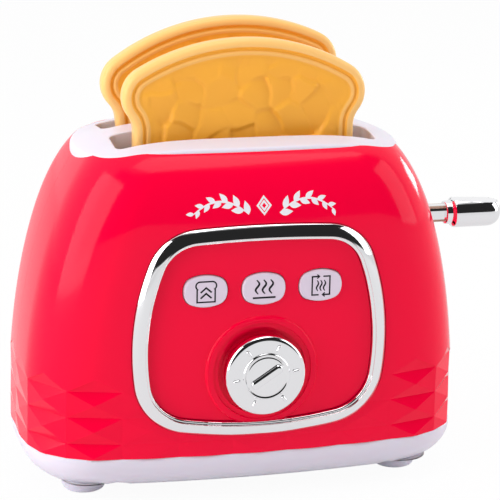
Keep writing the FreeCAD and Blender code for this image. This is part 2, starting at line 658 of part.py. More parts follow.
def control_panel():
    flange = panel_prism(BEZEL_OUTLINE.inset(-PANEL_FLANGE)).common(
        bow_slab(-WALL, -WALL - PANEL_SKIN, 0, SHELL_TOP_Z))
    raised = BEZEL_OUTLINE.inset(BEZEL_WIDTH + PANEL_GAP)
    face = panel_prism(raised).common(bow_slab(-PANEL_SINK, -WALL - PANEL_SKIN, 0, SHELL_TOP_Z))
    pieces = [flange, face]
    shape = joined(pieces)
    pocket = panel_prism(raised.inset(PANEL_SKIN)).common(
        bow_slab(-PANEL_SINK - PANEL_SKIN, -4 * WALL, 0, SHELL_TOP_Z))
    shape = shape.cut(pocket)
    at = (0, KNOB_Z)
    pieces = [shape, rod(WELL_R + PANEL_SKIN, (at[0], PANEL_SKIN_BACK_Y - 0.5, at[1]),
                         (at[0], WELL_FLOOR_Y + PANEL_SKIN, at[1])),
              rod(RIDGE_R + RIDGE_WIDTH / 2, (at[0], -BODY_HALF_DEPTH + PANEL_SINK - RIDGE_H, at[1]),
                  (at[0], PANEL_SKIN_BACK_Y - 0.5, at[1])).common(panel_prism(raised))]
    for x, z in plate_corners():
        pieces.append(rod(PANEL_BOSS_R, (x, PANEL_SKIN_BACK_Y - 0.5, z), (x, FRONT_PLATE_Y, z)))
    for side in (-1, 1):
        pieces.append(rod(PANEL_BOSS_R, (side * BRACKET_POST_X, PANEL_SKIN_BACK_Y, BUTTON_Z),
                          (side * BRACKET_POST_X, BRACKET_Y, BUTTON_Z)))
    ear_y = panel_ear_y()
    for x, z in panel_ear_spots():
        pieces.append(rod(PANEL_EAR_R, (x, ear_y, z), (x, ear_y + PANEL_SKIN, z)))
        side = math.copysign(1, x)
        low, high = sorted((side * (abs(x) - PANEL_EAR_R - 2), x))
        pieces.append(block((low, high), (ear_y, ear_y + PANEL_SKIN), (z - PANEL_EAR_R, z + PANEL_EAR_R)))
        low, high = sorted((side * (abs(x) - PANEL_EAR_R - 4), side * (abs(x) - PANEL_BOSS_R - 0.4)))
        pieces.append(block((low, high), (bow_y(abs(x) - PANEL_EAR_R - 4) + WALL + 0.6, ear_y + PANEL_SKIN),
                            (z - PANEL_EAR_R, z + PANEL_EAR_R)))
    shape = joined(pieces)
    shape = shape.cut(rod(RIDGE_R - RIDGE_WIDTH / 2, (at[0], -BODY_HALF_DEPTH - FRONT_DEEP, at[1]),
                          (at[0], -BODY_HALF_DEPTH + PANEL_SINK, at[1])))
    shape = shape.cut(rod(WELL_R, (at[0], -BODY_HALF_DEPTH - FRONT_DEEP, at[1]),
                          (at[0], WELL_FLOOR_Y, at[1])))
    shape = shape.cut(rod(SHAFT_R + SHAFT_RUN, (at[0], -BODY_HALF_DEPTH, at[1]), (at[0], 0, at[1])))
    for i in (-1, 0, 1):
        hole = prism(upright_wire(BUTTON_OUTLINE.inset(-BUTTON_GAP), -BODY_HALF_DEPTH - 5,
                                  i * BUTTON_PITCH, BUTTON_Z), Y * 12)
        shape = shape.cut(hole)
    for x, z in plate_corners():
        shape = shape.cut(rod(SCREW_R, (x, PANEL_SKIN_BACK_Y + 0.6, z), (x, 0, z)))
    for side in (-1, 1):
        shape = shape.cut(rod(SCREW_R, (side * BRACKET_POST_X, PANEL_SKIN_BACK_Y + 2, BUTTON_Z),
                              (side * BRACKET_POST_X, 0, BUTTON_Z)))
    for x, z in panel_ear_spots():
        shape = shape.cut(rod(SCREW_R, (x, -BODY_HALF_DEPTH, z), (x, 0, z)))
    return shape


def panel_screws():
    y = panel_ear_y() + PANEL_SKIN
    shapes = []
    for x, z in panel_ear_spots():
        shapes.append(rod(SCREW_HEAD_R, (x, y, z), (x, y + SCREW_HEAD_H, z)).fuse(
            rod(SCREW_R, (x, bow_y(x) + WALL + 1, z), (x, y, z))))
    return Part.makeCompound(shapes)


# Buttons

def button_y(i):
    """Y of the bowed panel face at a button's centre."""
    return bow_y(i * BUTTON_PITCH, -PANEL_SINK)


def button_flange_y(i):
    return button_y(i) + PANEL_SKIN + BUTTON_FLANGE_CLEAR


def push_button(i):
    x, y = i * BUTTON_PITCH, button_y(i)
    cap = prism(upright_wire(BUTTON_OUTLINE, y - BUTTON_PROUD, x, BUTTON_Z),
                Y * (button_flange_y(i) - y + BUTTON_PROUD))
    cap = rounded(cap, 0.7, lambda edge: edge.BoundBox.YMax < y - BUTTON_PROUD + 1e-6)
    flange = prism(upright_wire(BUTTON_OUTLINE.inset(-BUTTON_FLANGE), button_flange_y(i), x, BUTTON_Z),
                   Y * BUTTON_FLANGE_T)
    stem = rod(BUTTON_STEM_R, (x, button_flange_y(i), BUTTON_Z), (x, BRACKET_Y + BRACKET_T + 0.6, BUTTON_Z))
    return joined([cap, flange, stem])


def button_bracket():
    shape = block((-BRACKET_HALF_LENGTH, BRACKET_HALF_LENGTH), (BRACKET_Y, BRACKET_Y + BRACKET_T),
                  (BUTTON_Z - BRACKET_HALF_HEIGHT, BUTTON_Z + BRACKET_HALF_HEIGHT))
    for i in (-1, 0, 1):
        shape = shape.cut(rod(BUTTON_STEM_R + 0.3, (i * BUTTON_PITCH, -BODY_HALF_DEPTH, BUTTON_Z),
                              (i * BUTTON_PITCH, 0, BUTTON_Z)))
    for side in (-1, 1):
        shape = shape.cut(rod(SCREW_R, (side * BRACKET_POST_X, -BODY_HALF_DEPTH, BUTTON_Z),
                              (side * BRACKET_POST_X, 0, BUTTON_Z)))
    return shape


def bracket_screws():
    y = BRACKET_Y + BRACKET_T
    return Part.makeCompound(both_sides(lambda side: rod(
        SCREW_HEAD_R, (side * BRACKET_POST_X, y, BUTTON_Z),
        (side * BRACKET_POST_X, y + SCREW_HEAD_H, BUTTON_Z)).fuse(
        rod(SCREW_R, (side * BRACKET_POST_X, PANEL_SKIN_BACK_Y + 3, BUTTON_Z),
            (side * BRACKET_POST_X, y, BUTTON_Z)))))


def coil(radius, wire_r, turns, start, end):
    """Open compression spring of quarter-turn arcs from one point to another."""
    start, end = Vector(*start), Vector(*end)
    axis = (end - start).normalize()
    across = axis.cross(X) if abs(axis.dot(X)) < 0.9 else axis.cross(Y)
    across.normalize()
    third = axis.cross(across)
    length = (end - start).Length - 2 * wire_r
    base = start + axis * wire_r

    def at(turn):
        angle = 2 * math.pi * turn
        return (base + across * (radius * math.cos(angle)) + third * (radius * math.sin(angle))
                + axis * (length * turn / turns))

    quarters = 4 * turns
    edges = [Part.Arc(at(q / 4), at((q + 0.5) / 4), at((q + 1) / 4)).toShape() for q in range(quarters)]
    path = Part.Wire(edges)
    section = Part.Wire(Part.makeCircle(wire_r, at(0), path.Edges[0].tangentAt(path.Edges[0].FirstParameter)))
    return path.makePipeShell([section], True, False)


def button_spring(i):
    x = i * BUTTON_PITCH
    return coil(2.6, 0.25, 4, (x, button_flange_y(i) + BUTTON_FLANGE_T, BUTTON_Z), (x, BRACKET_Y, BUTTON_Z))


# Clockwork

def involute(angle):
    return math.tan(angle) - angle


def gear(teeth, module, y, width, centre, turn, bore, addendum):
    """Spur gear on an axis along Y; turn is the angle of its first tooth in degrees."""
    pitch = module * teeth / 2
    base_r = pitch * math.cos(math.radians(PRESSURE_ANGLE))
    tip, root = pitch + addendum * module, pitch - 1.2 * module
    half = math.pi / 2 / teeth - BACKLASH / 2 / pitch + involute(math.radians(PRESSURE_ANGLE))
    start = max(base_r, root)
    flank = [(r, half - involute(math.acos(min(1.0, base_r / r))))
             for r in (start, start + (tip - start) * 0.4, tip)]
    if root < base_r:
        flank.insert(0, (root, flank[0][1]))
    points = []
    for k in range(teeth):
        middle = math.radians(turn) + 2 * math.pi * k / teeth
        for r, a in flank:
            points.append((r, middle - a))
        for r, a in reversed(flank):
            points.append((r, middle + a))
    corners = [Vector(centre[0] + r * math.cos(a), y, centre[1] + r * math.sin(a)) for r, a in points]
    shape = prism(Part.makePolygon(corners + corners[:1]), Y * width)
    return shape.cut(rod(bore, (centre[0], y - 1, centre[1]), (centre[0], y + width + 1, centre[1])))


def arbor_spots():
    """Centres of the knob's shaft, the second arbor and the governor."""
    first = FIRST_MODULE * (WHEEL_TEETH + PINION_TEETH) / 2
    second = SECOND_MODULE * (WHEEL_TEETH + PINION_TEETH) / 2
    a, b = math.radians(SECOND_ARBOR_AT), math.radians(GOVERNOR_AT)
    main = (0.0, KNOB_Z)
    mid = (main[0] + first * math.cos(a), main[1] + first * math.sin(a))
    last = (mid[0] + second * math.cos(b), mid[1] + second * math.sin(b))
    return main, mid, last


MAIN_GEAR_Y = FRONT_PLATE_Y + PLATE_T + 1.0
MAIN_GEAR_T = 2.5
SECOND_WHEEL_Y = MAIN_GEAR_Y + MAIN_GEAR_T + 1.9
SECOND_WHEEL_T = 1.8
FLYWHEEL_Y = REAR_PLATE_Y - 2.0 - FLYWHEEL_T


def at_y(spot, y):
    return (spot[0], y, spot[1])


def timer_plate(y):
    shape = block((PLATE_LEFT, PLATE_RIGHT), (y, y + PLATE_T), (PLATE_LOW_Z, PLATE_HIGH_Z))
    main, mid, last = arbor_spots()
    for spot, r in ((main, SHAFT_R), (mid, ARBOR_R), (last, ARBOR_R)):
        shape = shape.cut(rod(r + SHAFT_RUN, at_y(spot, y - 1), at_y(spot, y + PLATE_T + 1)))
    for spot in plate_corners():
        shape = shape.cut(rod(SCREW_R, at_y(spot, y - 1), at_y(spot, y + PLATE_T + 1)))
    return shape


def rear_plate():
    """Plate with the post that holds the mainspring's outer end and the hole of the latch's pivot."""
    reach = SPRING_COIL_R + SPRING_TURNS * SPRING_STEP + SPRING_STRIP / 2 + 1.0
    post = rod(1.0, (-reach, REAR_PLATE_Y - 6.5, KNOB_Z), (-reach, REAR_PLATE_Y + 0.5, KNOB_Z))
    shape = timer_plate(REAR_PLATE_Y).fuse(post)
    return shape.cut(rod(LATCH_PIN_R, (LATCH_X, REAR_PLATE_Y - 1, LATCH_Z),
                         (LATCH_X, REAR_PLATE_Y + PLATE_T + 1, LATCH_Z)))


def timer_pillars():
    return Part.makeCompound([tube(PILLAR_R, SCREW_R, at_y(spot, FRONT_PLATE_Y + PLATE_T),
                                   at_y(spot, REAR_PLATE_Y)) for spot in plate_corners()])


def timer_screws():
    y = REAR_PLATE_Y + PLATE_T
    return Part.makeCompound([rod(2.0, at_y(spot, y), at_y(spot, y + SCREW_HEAD_H)).fuse(
        rod(SCREW_R, at_y(spot, PANEL_SKIN_BACK_Y + 1.6), at_y(spot, y))) for spot in plate_corners()])


def timer_shaft():
    main = arbor_spots()[0]
    return rod(SHAFT_R, at_y(main, KNOB_FACE_Y + 3), at_y(main, SHAFT_END_Y))


def timer_knob():
    at = (0.0, KNOB_Z)
    skirt_y = WELL_FLOOR_Y - 0.3
    shape = rod(KNOB_R, at_y(at, KNOB_FACE_Y + KNOB_BEVEL_DEPTH), at_y(at, skirt_y))
    bevel = Part.makeCone(KNOB_R, KNOB_R - KNOB_BEVEL, KNOB_BEVEL_DEPTH,
                          Vector(*at_y(at, KNOB_FACE_Y + KNOB_BEVEL_DEPTH)), -Y)
    pieces = [shape, bevel, rod(KNOB_DISC_R, at_y(at, KNOB_FACE_Y - KNOB_DISC_H), at_y(at, KNOB_FACE_Y + 1))]
    bar = block((-KNOB_BAR_LENGTH / 2, KNOB_BAR_LENGTH / 2), (-KNOB_BAR_H - KNOB_DISC_H, 1),
                (-KNOB_BAR_WIDTH / 2, KNOB_BAR_WIDTH / 2))
    bar = rounded(bar, KNOB_BAR_WIDTH / 2 - 0.01, lambda edge: edge.BoundBox.YLength > 1)
    bar.rotate(Vector(), Y, -KNOB_BAR_TILT)
    bar.translate(Vector(0, KNOB_FACE_Y, KNOB_Z))
    pieces.append(bar)
    for k in range(KNOB_MARKS):
        mark = block((KNOB_MARK_R - KNOB_MARK_LENGTH / 2, KNOB_MARK_R + KNOB_MARK_LENGTH / 2), (-0.5, 0.5),
                     (-KNOB_MARK_WIDTH / 2, KNOB_MARK_WIDTH / 2))
        mark.rotate(Vector(), Y, -(KNOB_MARK_TURN + 360.0 * k / KNOB_MARKS))
        mark.translate(Vector(0, KNOB_FACE_Y, KNOB_Z))
        pieces.append(mark)
    shape = joined(pieces)
    hollow = rod(KNOB_R - 2, at_y(at, KNOB_FACE_Y + 4), at_y(at, skirt_y + 1)).cut(
        rod(SHAFT_R + 2, at_y(at, KNOB_FACE_Y), at_y(at, skirt_y + 2)))
    return shape.cut(hollow).cut(rod(SHAFT_R, at_y(at, KNOB_FACE_Y + 3), at_y(at, 0)))


def main_gear():
    main, mid, last = arbor_spots()
    wheel = gear(WHEEL_TEETH, FIRST_MODULE, MAIN_GEAR_Y, MAIN_GEAR_T, main, SECOND_ARBOR_AT, SHAFT_R, 0.75)
    return wheel.fuse(tube(SHAFT_R + 2, SHAFT_R, at_y(main, MAIN_GEAR_Y + MAIN_GEAR_T),
                           at_y(main, MAIN_GEAR_Y + MAIN_GEAR_T + 3)))


def second_arbor():
    """Arbor with the pinion that the main gear drives."""
    mid = arbor_spots()[1]
    pinion = gear(PINION_TEETH, FIRST_MODULE, MAIN_GEAR_Y - 0.4, MAIN_GEAR_T + 0.8, mid,
                  SECOND_ARBOR_AT + 180 + 180 / PINION_TEETH, ARBOR_R, 0.9)
    return joined([pinion, rod(ARBOR_R, at_y(mid, FRONT_PLATE_Y), at_y(mid, REAR_PLATE_Y + PLATE_T))])


def second_wheel():
    mid = arbor_spots()[1]
    return gear(WHEEL_TEETH, SECOND_MODULE, SECOND_WHEEL_Y, SECOND_WHEEL_T, mid, GOVERNOR_AT, ARBOR_R, 0.75)


def governor_arbor():
    last = arbor_spots()[2]
    pinion = gear(PINION_TEETH, SECOND_MODULE, SECOND_WHEEL_Y - 0.4, SECOND_WHEEL_T + 0.8, last,
                  GOVERNOR_AT + 180 + 180 / PINION_TEETH, ARBOR_R, 0.9)
    return joined([pinion, rod(ARBOR_R, at_y(last, FRONT_PLATE_Y), at_y(last, REAR_PLATE_Y + PLATE_T))])


def governor_flywheel():
    """Bar-bell flywheel: a thin disc with two weights."""
    last = arbor_spots()[2]
    shape = rod(FLYWHEEL_R, at_y(last, FLYWHEEL_Y), at_y(last, FLYWHEEL_Y + FLYWHEEL_T / 3))
    hub = rod(ARBOR_R + 1, at_y(last, FLYWHEEL_Y), at_y(last, FLYWHEEL_Y + FLYWHEEL_T))
    weights = [rod(1.8, at_y((last[0] + side * (FLYWHEEL_R - 2), last[1]), FLYWHEEL_Y),
                   at_y((last[0] + side * (FLYWHEEL_R - 2), last[1]), FLYWHEEL_Y + FLYWHEEL_T))
               for side in (-1, 1)]
    return joined([shape, hub] + weights).cut(
        rod(ARBOR_R, at_y(last, FLYWHEEL_Y - 1), at_y(last, FLYWHEEL_Y + FLYWHEEL_T + 1)))


def mainspring():
    """Flat spiral strip of half-turn arcs, each a little larger than the last."""
    y = FLYWHEEL_Y + FLYWHEEL_T - SPRING_WIDTH

    def side_line(offset):
        """Arcs of one face of the strip, with its inner and its outer end."""
        ends = []
        for k in range(2 * SPRING_TURNS):
            r = SPRING_COIL_R + SPRING_STEP * (k + 1) / 2 + offset
            way = 1 if k % 2 == 0 else -1
            x = -way * SPRING_STEP / 4
            ends.append([Vector(x + way * r, y, KNOB_Z), Vector(x, y, KNOB_Z + way * r),
                         Vector(x - way * r, y, KNOB_Z)])
        return [Part.Arc(*points).toShape() for points in ends], ends[0][0], ends[-1][-1]

    outer, outer_start, outer_end = side_line(SPRING_STRIP / 2)
    inner, inner_start, inner_end = side_line(-SPRING_STRIP / 2)
    caps = [Part.LineSegment(outer_start, inner_start).toShape(),
            Part.LineSegment(outer_end, inner_end).toShape()]
    wire = Part.Wire(Part.__sortEdges__(outer + inner + caps))
    return prism(wire, Y * SPRING_WIDTH)


def release_cam():
    """Snail cam: its radius grows evenly over the knob's turn, then drops back."""
    main = arbor_spots()[0]
    lead, tail = -12.0, 15.0

    def spot(angle, r):
        a = math.radians(angle)
        return Vector(main[0] + r * math.cos(a), CAM_Y, main[1] + r * math.sin(a))

    def radius(angle):
        return CAM_R + CAM_RISE * angle / CAM_TURN

    steps = 18
    rise = Part.BSplineCurve()
    rise.interpolate([spot(a, radius(a)) for a in
                      [lead + (CAM_TURN + tail - lead) * k / steps for k in range(steps + 1)]])
    drop = Part.LineSegment(spot(CAM_TURN + tail, radius(CAM_TURN + tail)), spot(lead, radius(lead)))
    shape = prism(Part.Wire([rise.toShape(), drop.toShape()]), Y * CAM_T)
    return shape.cut(rod(SHAFT_R, at_y(main, CAM_Y - 1), at_y(main, CAM_Y + CAM_T + 1)))


def latch_lever():
    """Lever that rides on the cam and hooks over the carriage's catch."""
    nose = (CAM_R + LATCH_NOSE_GAP + LATCH_NOSE_R, KNOB_Z)
    y0, y1 = CAM_Y, CAM_Y + CAM_T

    def strip(points):
        corners = [Vector(x, y0, z) for x, z in points]
        return prism(Part.makePolygon(corners + corners[:1]), Y * CAM_T)

    pieces = [rod(LATCH_PIN_R + 1.8, (LATCH_X, y0, LATCH_Z), (LATCH_X, y1, LATCH_Z)),
              rod(LATCH_NOSE_R, at_y(nose, y0), at_y(nose, y1))]
    pieces.append(strip([(nose[0] + 0.4, nose[1] + LATCH_NOSE_R - 0.1),
                         (nose[0] + 0.2, nose[1] - LATCH_NOSE_R),
                         (LATCH_X - 1.5, LATCH_Z + 5), (LATCH_X + 1.5, LATCH_Z + 8)]))
    pieces.append(strip([(LATCH_X - 2.4, LATCH_Z), (LATCH_X + 2.4, LATCH_Z),
                         (LATCH_ARM_RIGHT_X, LATCH_HOOK_Z - 6), (LATCH_ARM_RIGHT_X, LATCH_HOOK_Z),
                         (LATCH_HOOK_TIP_X, LATCH_HOOK_Z + 0.5),
                         (LATCH_HOOK_TIP_X - 1, LATCH_HOOK_Z + LATCH_HOOK_H),
                         (LATCH_ARM_RIGHT_X - LATCH_ARM, LATCH_HOOK_Z + LATCH_HOOK_H),
                         (LATCH_ARM_RIGHT_X - LATCH_ARM, LATCH_HOOK_Z - 6), (LATCH_X - 2.4, LATCH_Z + 8)]))
    shape = joined(pieces)
    return shape.cut(rod(LATCH_PIN_R + SHAFT_RUN, (LATCH_X, y0 - 1, LATCH_Z), (LATCH_X, y1 + 1, LATCH_Z)))


def latch_pin():
    end = CAM_Y + CAM_T + 0.2
    return rod(LATCH_PIN_R, (LATCH_X, REAR_PLATE_Y, LATCH_Z), (LATCH_X, end, LATCH_Z)).fuse(
        rod(LATCH_PIN_R + 0.9, (LATCH_X, end, LATCH_Z), (LATCH_X, end + 0.8, LATCH_Z)))


# Carriage

def slice_y(row):
    return row * SLOT_CENTRE_Y


def carriage():
    shelf_low = SHELF_TOP_Z - SHELF_T
    half_tray = SLICE_T / 2 + TRAY_ROOM + TRAY_LIP
    pieces = [block((-ROD_X, ROD_X), (-SLOT_CENTRE_Y, SLOT_CENTRE_Y), (shelf_low, SHELF_TOP_Z))]
    for row in (-1, 1):
        y = slice_y(row)
        pieces.append(block((-TRAY_HALF_LENGTH, TRAY_HALF_LENGTH), (y - half_tray, y + half_tray),
                            (shelf_low, SHELF_TOP_Z + TRAY_LIP_H)))
    shape = joined(pieces)
    for row in (-1, 1):
        y = slice_y(row)
        room = SLICE_T / 2 + TRAY_ROOM
        shape = shape.cut(block((-ROD_X, ROD_X), (y - room, y + room),
                                (SHELF_TOP_Z, SHELF_TOP_Z + 2 * TRAY_LIP_H)))
    arm_low, arm_high = LEVER_Z - LEVER_ARM_H / 2, LEVER_Z + LEVER_ARM_H / 2
    corner_cut = [block(sorted((side * TRAY_HALF_LENGTH, side * (ROD_X + 1))),
                        sorted((way * HUB_R, way * SLOT_CENTRE_Y)), (shelf_low - 1, SHELF_TOP_Z + 1))
                  for side in (-1, 1) for way in (-1, 1)]
    shape = shape.cut(corner_cut[0].fuse(corner_cut[1:]))
    pieces = [shape,
              rod(HUB_R, (-ROD_X, 0, shelf_low - HUB_DROP), (-ROD_X, 0, SHELF_TOP_Z + HUB_RISE)),
              rod(HUB_R, (ROD_X, 0, shelf_low - HUB_DROP), (ROD_X, 0, arm_high)),
              block((ROD_X, LEVER_START_X + LEVER_SOCKET), (-LEVER_ARM_T / 2, LEVER_ARM_T / 2),
                    (arm_low, arm_high)),
              block((CATCH_X, CATCH_X + CATCH_WIDTH), (CAM_Y - 0.1, -SLOT_CENTRE_Y - half_tray),
                    (SHELF_TOP_Z + TRAY_LIP_H - CATCH_H, SHELF_TOP_Z + TRAY_LIP_H))]
    shape = joined(pieces)
    for side in (-1, 1):
        shape = shape.cut(rod(ROD_R + ROD_RUN, (side * ROD_X, 0, 0), (side * ROD_X, 0, TRIM_TOP_Z)))
    return shape.cut(rod(SCREW_R, (LEVER_START_X + LEVER_SOCKET - 5, -LEVER_R, LEVER_Z),
                         (LEVER_START_X + LEVER_SOCKET - 5, LEVER_R, LEVER_Z)))


def guide_rod(side):
    return rod(ROD_R, (side * ROD_X, 0, ROD_FOOT_Z), (side * ROD_X, 0, ROD_TOP_Z))


def return_spring(side):
    return coil(RETURN_COIL_R, RETURN_WIRE_R, RETURN_TURNS, (side * ROD_X, 0, ROD_SOCKET_TOP_Z),
                (side * ROD_X, 0, SHELF_TOP_Z - SHELF_T - HUB_DROP))


def lever_cap():
    """Bull-nosed finger piece: a short neck, a swollen body and a flat facet on top."""
    def spot(x, r):
        return Vector(x, 0, LEVER_Z + r)

    neck_end = LEVER_START_X + LEVER_NECK
    nose = LEVER_END_X - LEVER_R
    profile = [
        Part.LineSegment(spot(LEVER_START_X, 0), spot(LEVER_START_X, LEVER_NECK_R)).toShape(),
        Part.LineSegment(spot(LEVER_START_X, LEVER_NECK_R), spot(neck_end, LEVER_NECK_R)).toShape(),
        Part.LineSegment(spot(neck_end, LEVER_NECK_R), spot(neck_end + 1.5, LEVER_R)).toShape(),
        Part.LineSegment(spot(neck_end + 1.5, LEVER_R), spot(nose, LEVER_R)).toShape(),
        Part.Arc(spot(nose, LEVER_R), spot(nose + LEVER_R * math.sqrt(0.5), LEVER_R * math.sqrt(0.5)),
                 spot(LEVER_END_X, 0)).toShape(),
        Part.LineSegment(spot(LEVER_END_X, 0), spot(LEVER_START_X, 0)).toShape()]
    shape = Part.Face(Part.Wire(profile)).revolve(Vector(0, 0, LEVER_Z), X, 360)
    facet = block((0, 2 * LEVER_R * 3), (-2 * LEVER_R, 2 * LEVER_R), (0, 3 * LEVER_R))
    facet.rotate(Vector(), Y, LEVER_FACET_TILT)
    facet.translate(Vector(neck_end + 4, 0, LEVER_Z + LEVER_R - 0.3))
    shape = shape.cut(facet)
    socket = block((LEVER_START_X - 1, LEVER_START_X + LEVER_SOCKET), (-LEVER_ARM_T / 2, LEVER_ARM_T / 2),
                   (LEVER_Z - LEVER_ARM_H / 2, LEVER_Z + LEVER_ARM_H / 2))
    shape = shape.cut(socket)
    return shape.cut(rod(SCREW_R, (LEVER_START_X + LEVER_SOCKET - 5, -LEVER_R - 1, LEVER_Z),
                         (LEVER_START_X + LEVER_SOCKET - 5, LEVER_R + 1, LEVER_Z)))


def lever_pin():
    x = LEVER_START_X + LEVER_SOCKET - 5
    return rod(SCREW_R, (x, -LEVER_R + 0.5, LEVER_Z), (x, LEVER_R - 0.5, LEVER_Z))


# Bread

def slice_wire(y, w):
    """Outline of a slice standing on z = 0, drawn in by w all round."""
    crown_r, shoulder_r, neck_r = SLICE_CROWN_R - w, SLICE_SHOULDER_R - w, SLICE_NECK_R + w
    foot_r = SLICE_FOOT_R - w
    half, neck = SLICE_HALF_WIDTH - w, SLICE_NECK_HALF - w
    crown = (0.0, SLICE_HEIGHT - SLICE_CROWN_R)
    sx = half - shoulder_r
    shoulder = (sx, crown[1] + math.sqrt((crown_r - shoulder_r) ** 2 - sx ** 2))
    nx = neck + neck_r
    dip = (nx, shoulder[1] - math.sqrt((shoulder_r + neck_r) ** 2 - (nx - sx) ** 2))
    a = meet(shoulder, shoulder_r, crown)
    b = (shoulder[0] + (dip[0] - shoulder[0]) * shoulder_r / (shoulder_r + neck_r),
         shoulder[1] + (dip[1] - shoulder[1]) * shoulder_r / (shoulder_r + neck_r))
    c = (neck, dip[1])
    d = (neck, w + foot_r)
    e = (neck - foot_r, w)

    def bulge(centre, r, p, q):
        m = ((p[0] + q[0]) / 2, (p[1] + q[1]) / 2)
        return meet(centre, r, (2 * centre[0] - m[0], 2 * centre[1] - m[1]))

    shoulder_mid = (shoulder[0] + shoulder_r * math.cos(math.radians(10)),
                    shoulder[1] + shoulder_r * math.sin(math.radians(10)))
    half_arcs = [(a, shoulder_mid, b), (b, bulge(dip, neck_r, b, c), c), (c, d),
                 (d, bulge((neck - foot_r, w + foot_r), foot_r, d, e), e)]

    def edge(points):
        corners = [Vector(u, y, v) for u, v in points]
        return (Part.Arc(*corners) if len(corners) == 3 else Part.LineSegment(*corners)).toShape()

    right = [edge(points) for points in half_arcs]
    left = [edge([(-u, v) for u, v in points]) for points in half_arcs]
    ends = [edge([(-a[0], a[1]), (0, SLICE_HEIGHT - w), a]), edge([(-e[0], e[1]), e])]
    return Part.Wire(Part.__sortEdges__(right + left + ends))


def bread_slice(row):
    y = slice_y(row) - SLICE_T / 2
    shape = prism(slice_wire(y, 0.0), Y * SLICE_T)
    shape = rounded(shape, SLICE_ROUND, lambda edge: edge.BoundBox.YLength < 1e-6)
    for start in (y - 1 + SLICE_SINK, y + SLICE_T - SLICE_SINK):
        shape = shape.cut(prism(slice_wire(start, SLICE_RIM), Y))
    if row > 0:
        shape.rotate(Vector(), Y, -REAR_SLICE_TILT)
        shape.translate(Vector(REAR_SLICE_SHIFT, 0, -shape.optimalBoundingBox().ZMin))
    shape.translate(Vector(0, 0, SHELF_TOP_Z))
    return shape


def parts():
    front, rear = shell_pair()
    yield "front_shell", front
    yield "rear_shell", rear
    yield "shell_screws", shell_screws()
    yield "base", base()
    yield "base_screws", base_screws()
    yield "top_trim", top_trim()
    yield "trim_screws", trim_screws()
    yield "bezel_ring", bezel_ring()
    yield "control_panel", control_panel()
    yield "panel_screws", panel_screws()
    for i, name in ((-1, "left"), (0, "centre"), (1, "right")):
        yield f"button_{name}", push_button(i)
        yield f"button_spring_{name}", button_spring(i)
    yield "button_bracket", button_bracket()
    yield "bracket_screws", bracket_screws()
    yield "timer_front_plate", timer_plate(FRONT_PLATE_Y)
    yield "timer_rear_plate", rear_plate()
    yield "timer_pillars", timer_pillars()
    yield "timer_screws", timer_screws()
    yield "timer_knob", timer_knob()
    yield "timer_shaft", timer_shaft()
    yield "main_gear", main_gear()
    yield "second_arbor", second_arbor()
    yield "second_wheel", second_wheel()
    yield "governor_arbor", governor_arbor()
    yield "governor_flywheel", governor_flywheel()
    yield "mainspring", mainspring()
    yield "release_cam", release_cam()
    yield "latch_lever", latch_lever()
    yield "latch_pin", latch_pin()
    yield "carriage", carriage()
    for side, name in ((-1, "left"), (1, "right")):
        yield f"guide_rod_{name}", guide_rod(side)
        yield f"return_spring_{name}", return_spring(side)
    yield "lever_cap", lever_cap()
    yield "lever_pin", lever_pin()
    yield "bread_slice_front", bread_slice(-1)
    yield "bread_slice_rear", bread_slice(1)


def set_down():
    """Shift that puts the origin under the middle of the toy's bounding box."""
    middle_x = (LEVER_END_X - BODY_HALF_LENGTH) / 2
    middle_y = (BODY_HALF_DEPTH + KNOB_FACE_Y - KNOB_DISC_H - KNOB_BAR_H) / 2
    return Vector(-middle_x, -middle_y, 0)


def main():
    os.makedirs("parts", exist_ok=True)
    shift = set_down()
    for name, shape in parts():
        shape.translate(shift)
        shape.exportStep(f"parts/{name}.step")
        box = shape.BoundBox
        print(f"{name:22s} solids {len(shape.Solids)} valid {shape.isValid()} volume {shape.Volume:9.1f} "
              f"x {box.XMin:7.1f} {box.XMax:7.1f} y {box.YMin:6.1f} {box.YMax:6.1f} "
              f"z {box.ZMin:6.1f} {box.ZMax:6.1f}")


main()
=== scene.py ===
"""Looks of a toy pop-up toaster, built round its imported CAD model.

Sizes in the classes are millimetres on the toy's own centre line: x to the lever, y to the back, z up
from the table. Rig.at() turns them into the frame's metres.
"""
from __future__ import annotations

import json
import logging
import math
import random
from contextlib import contextmanager
from dataclasses import dataclass
from enum import Enum
from math import cos, pi, radians, sin, sqrt
from typing import Callable, Iterable, Iterator, Sequence

import bmesh
import bpy
from mathutils import Matrix, Vector
from mathutils.geometry import delaunay_2d_cdt

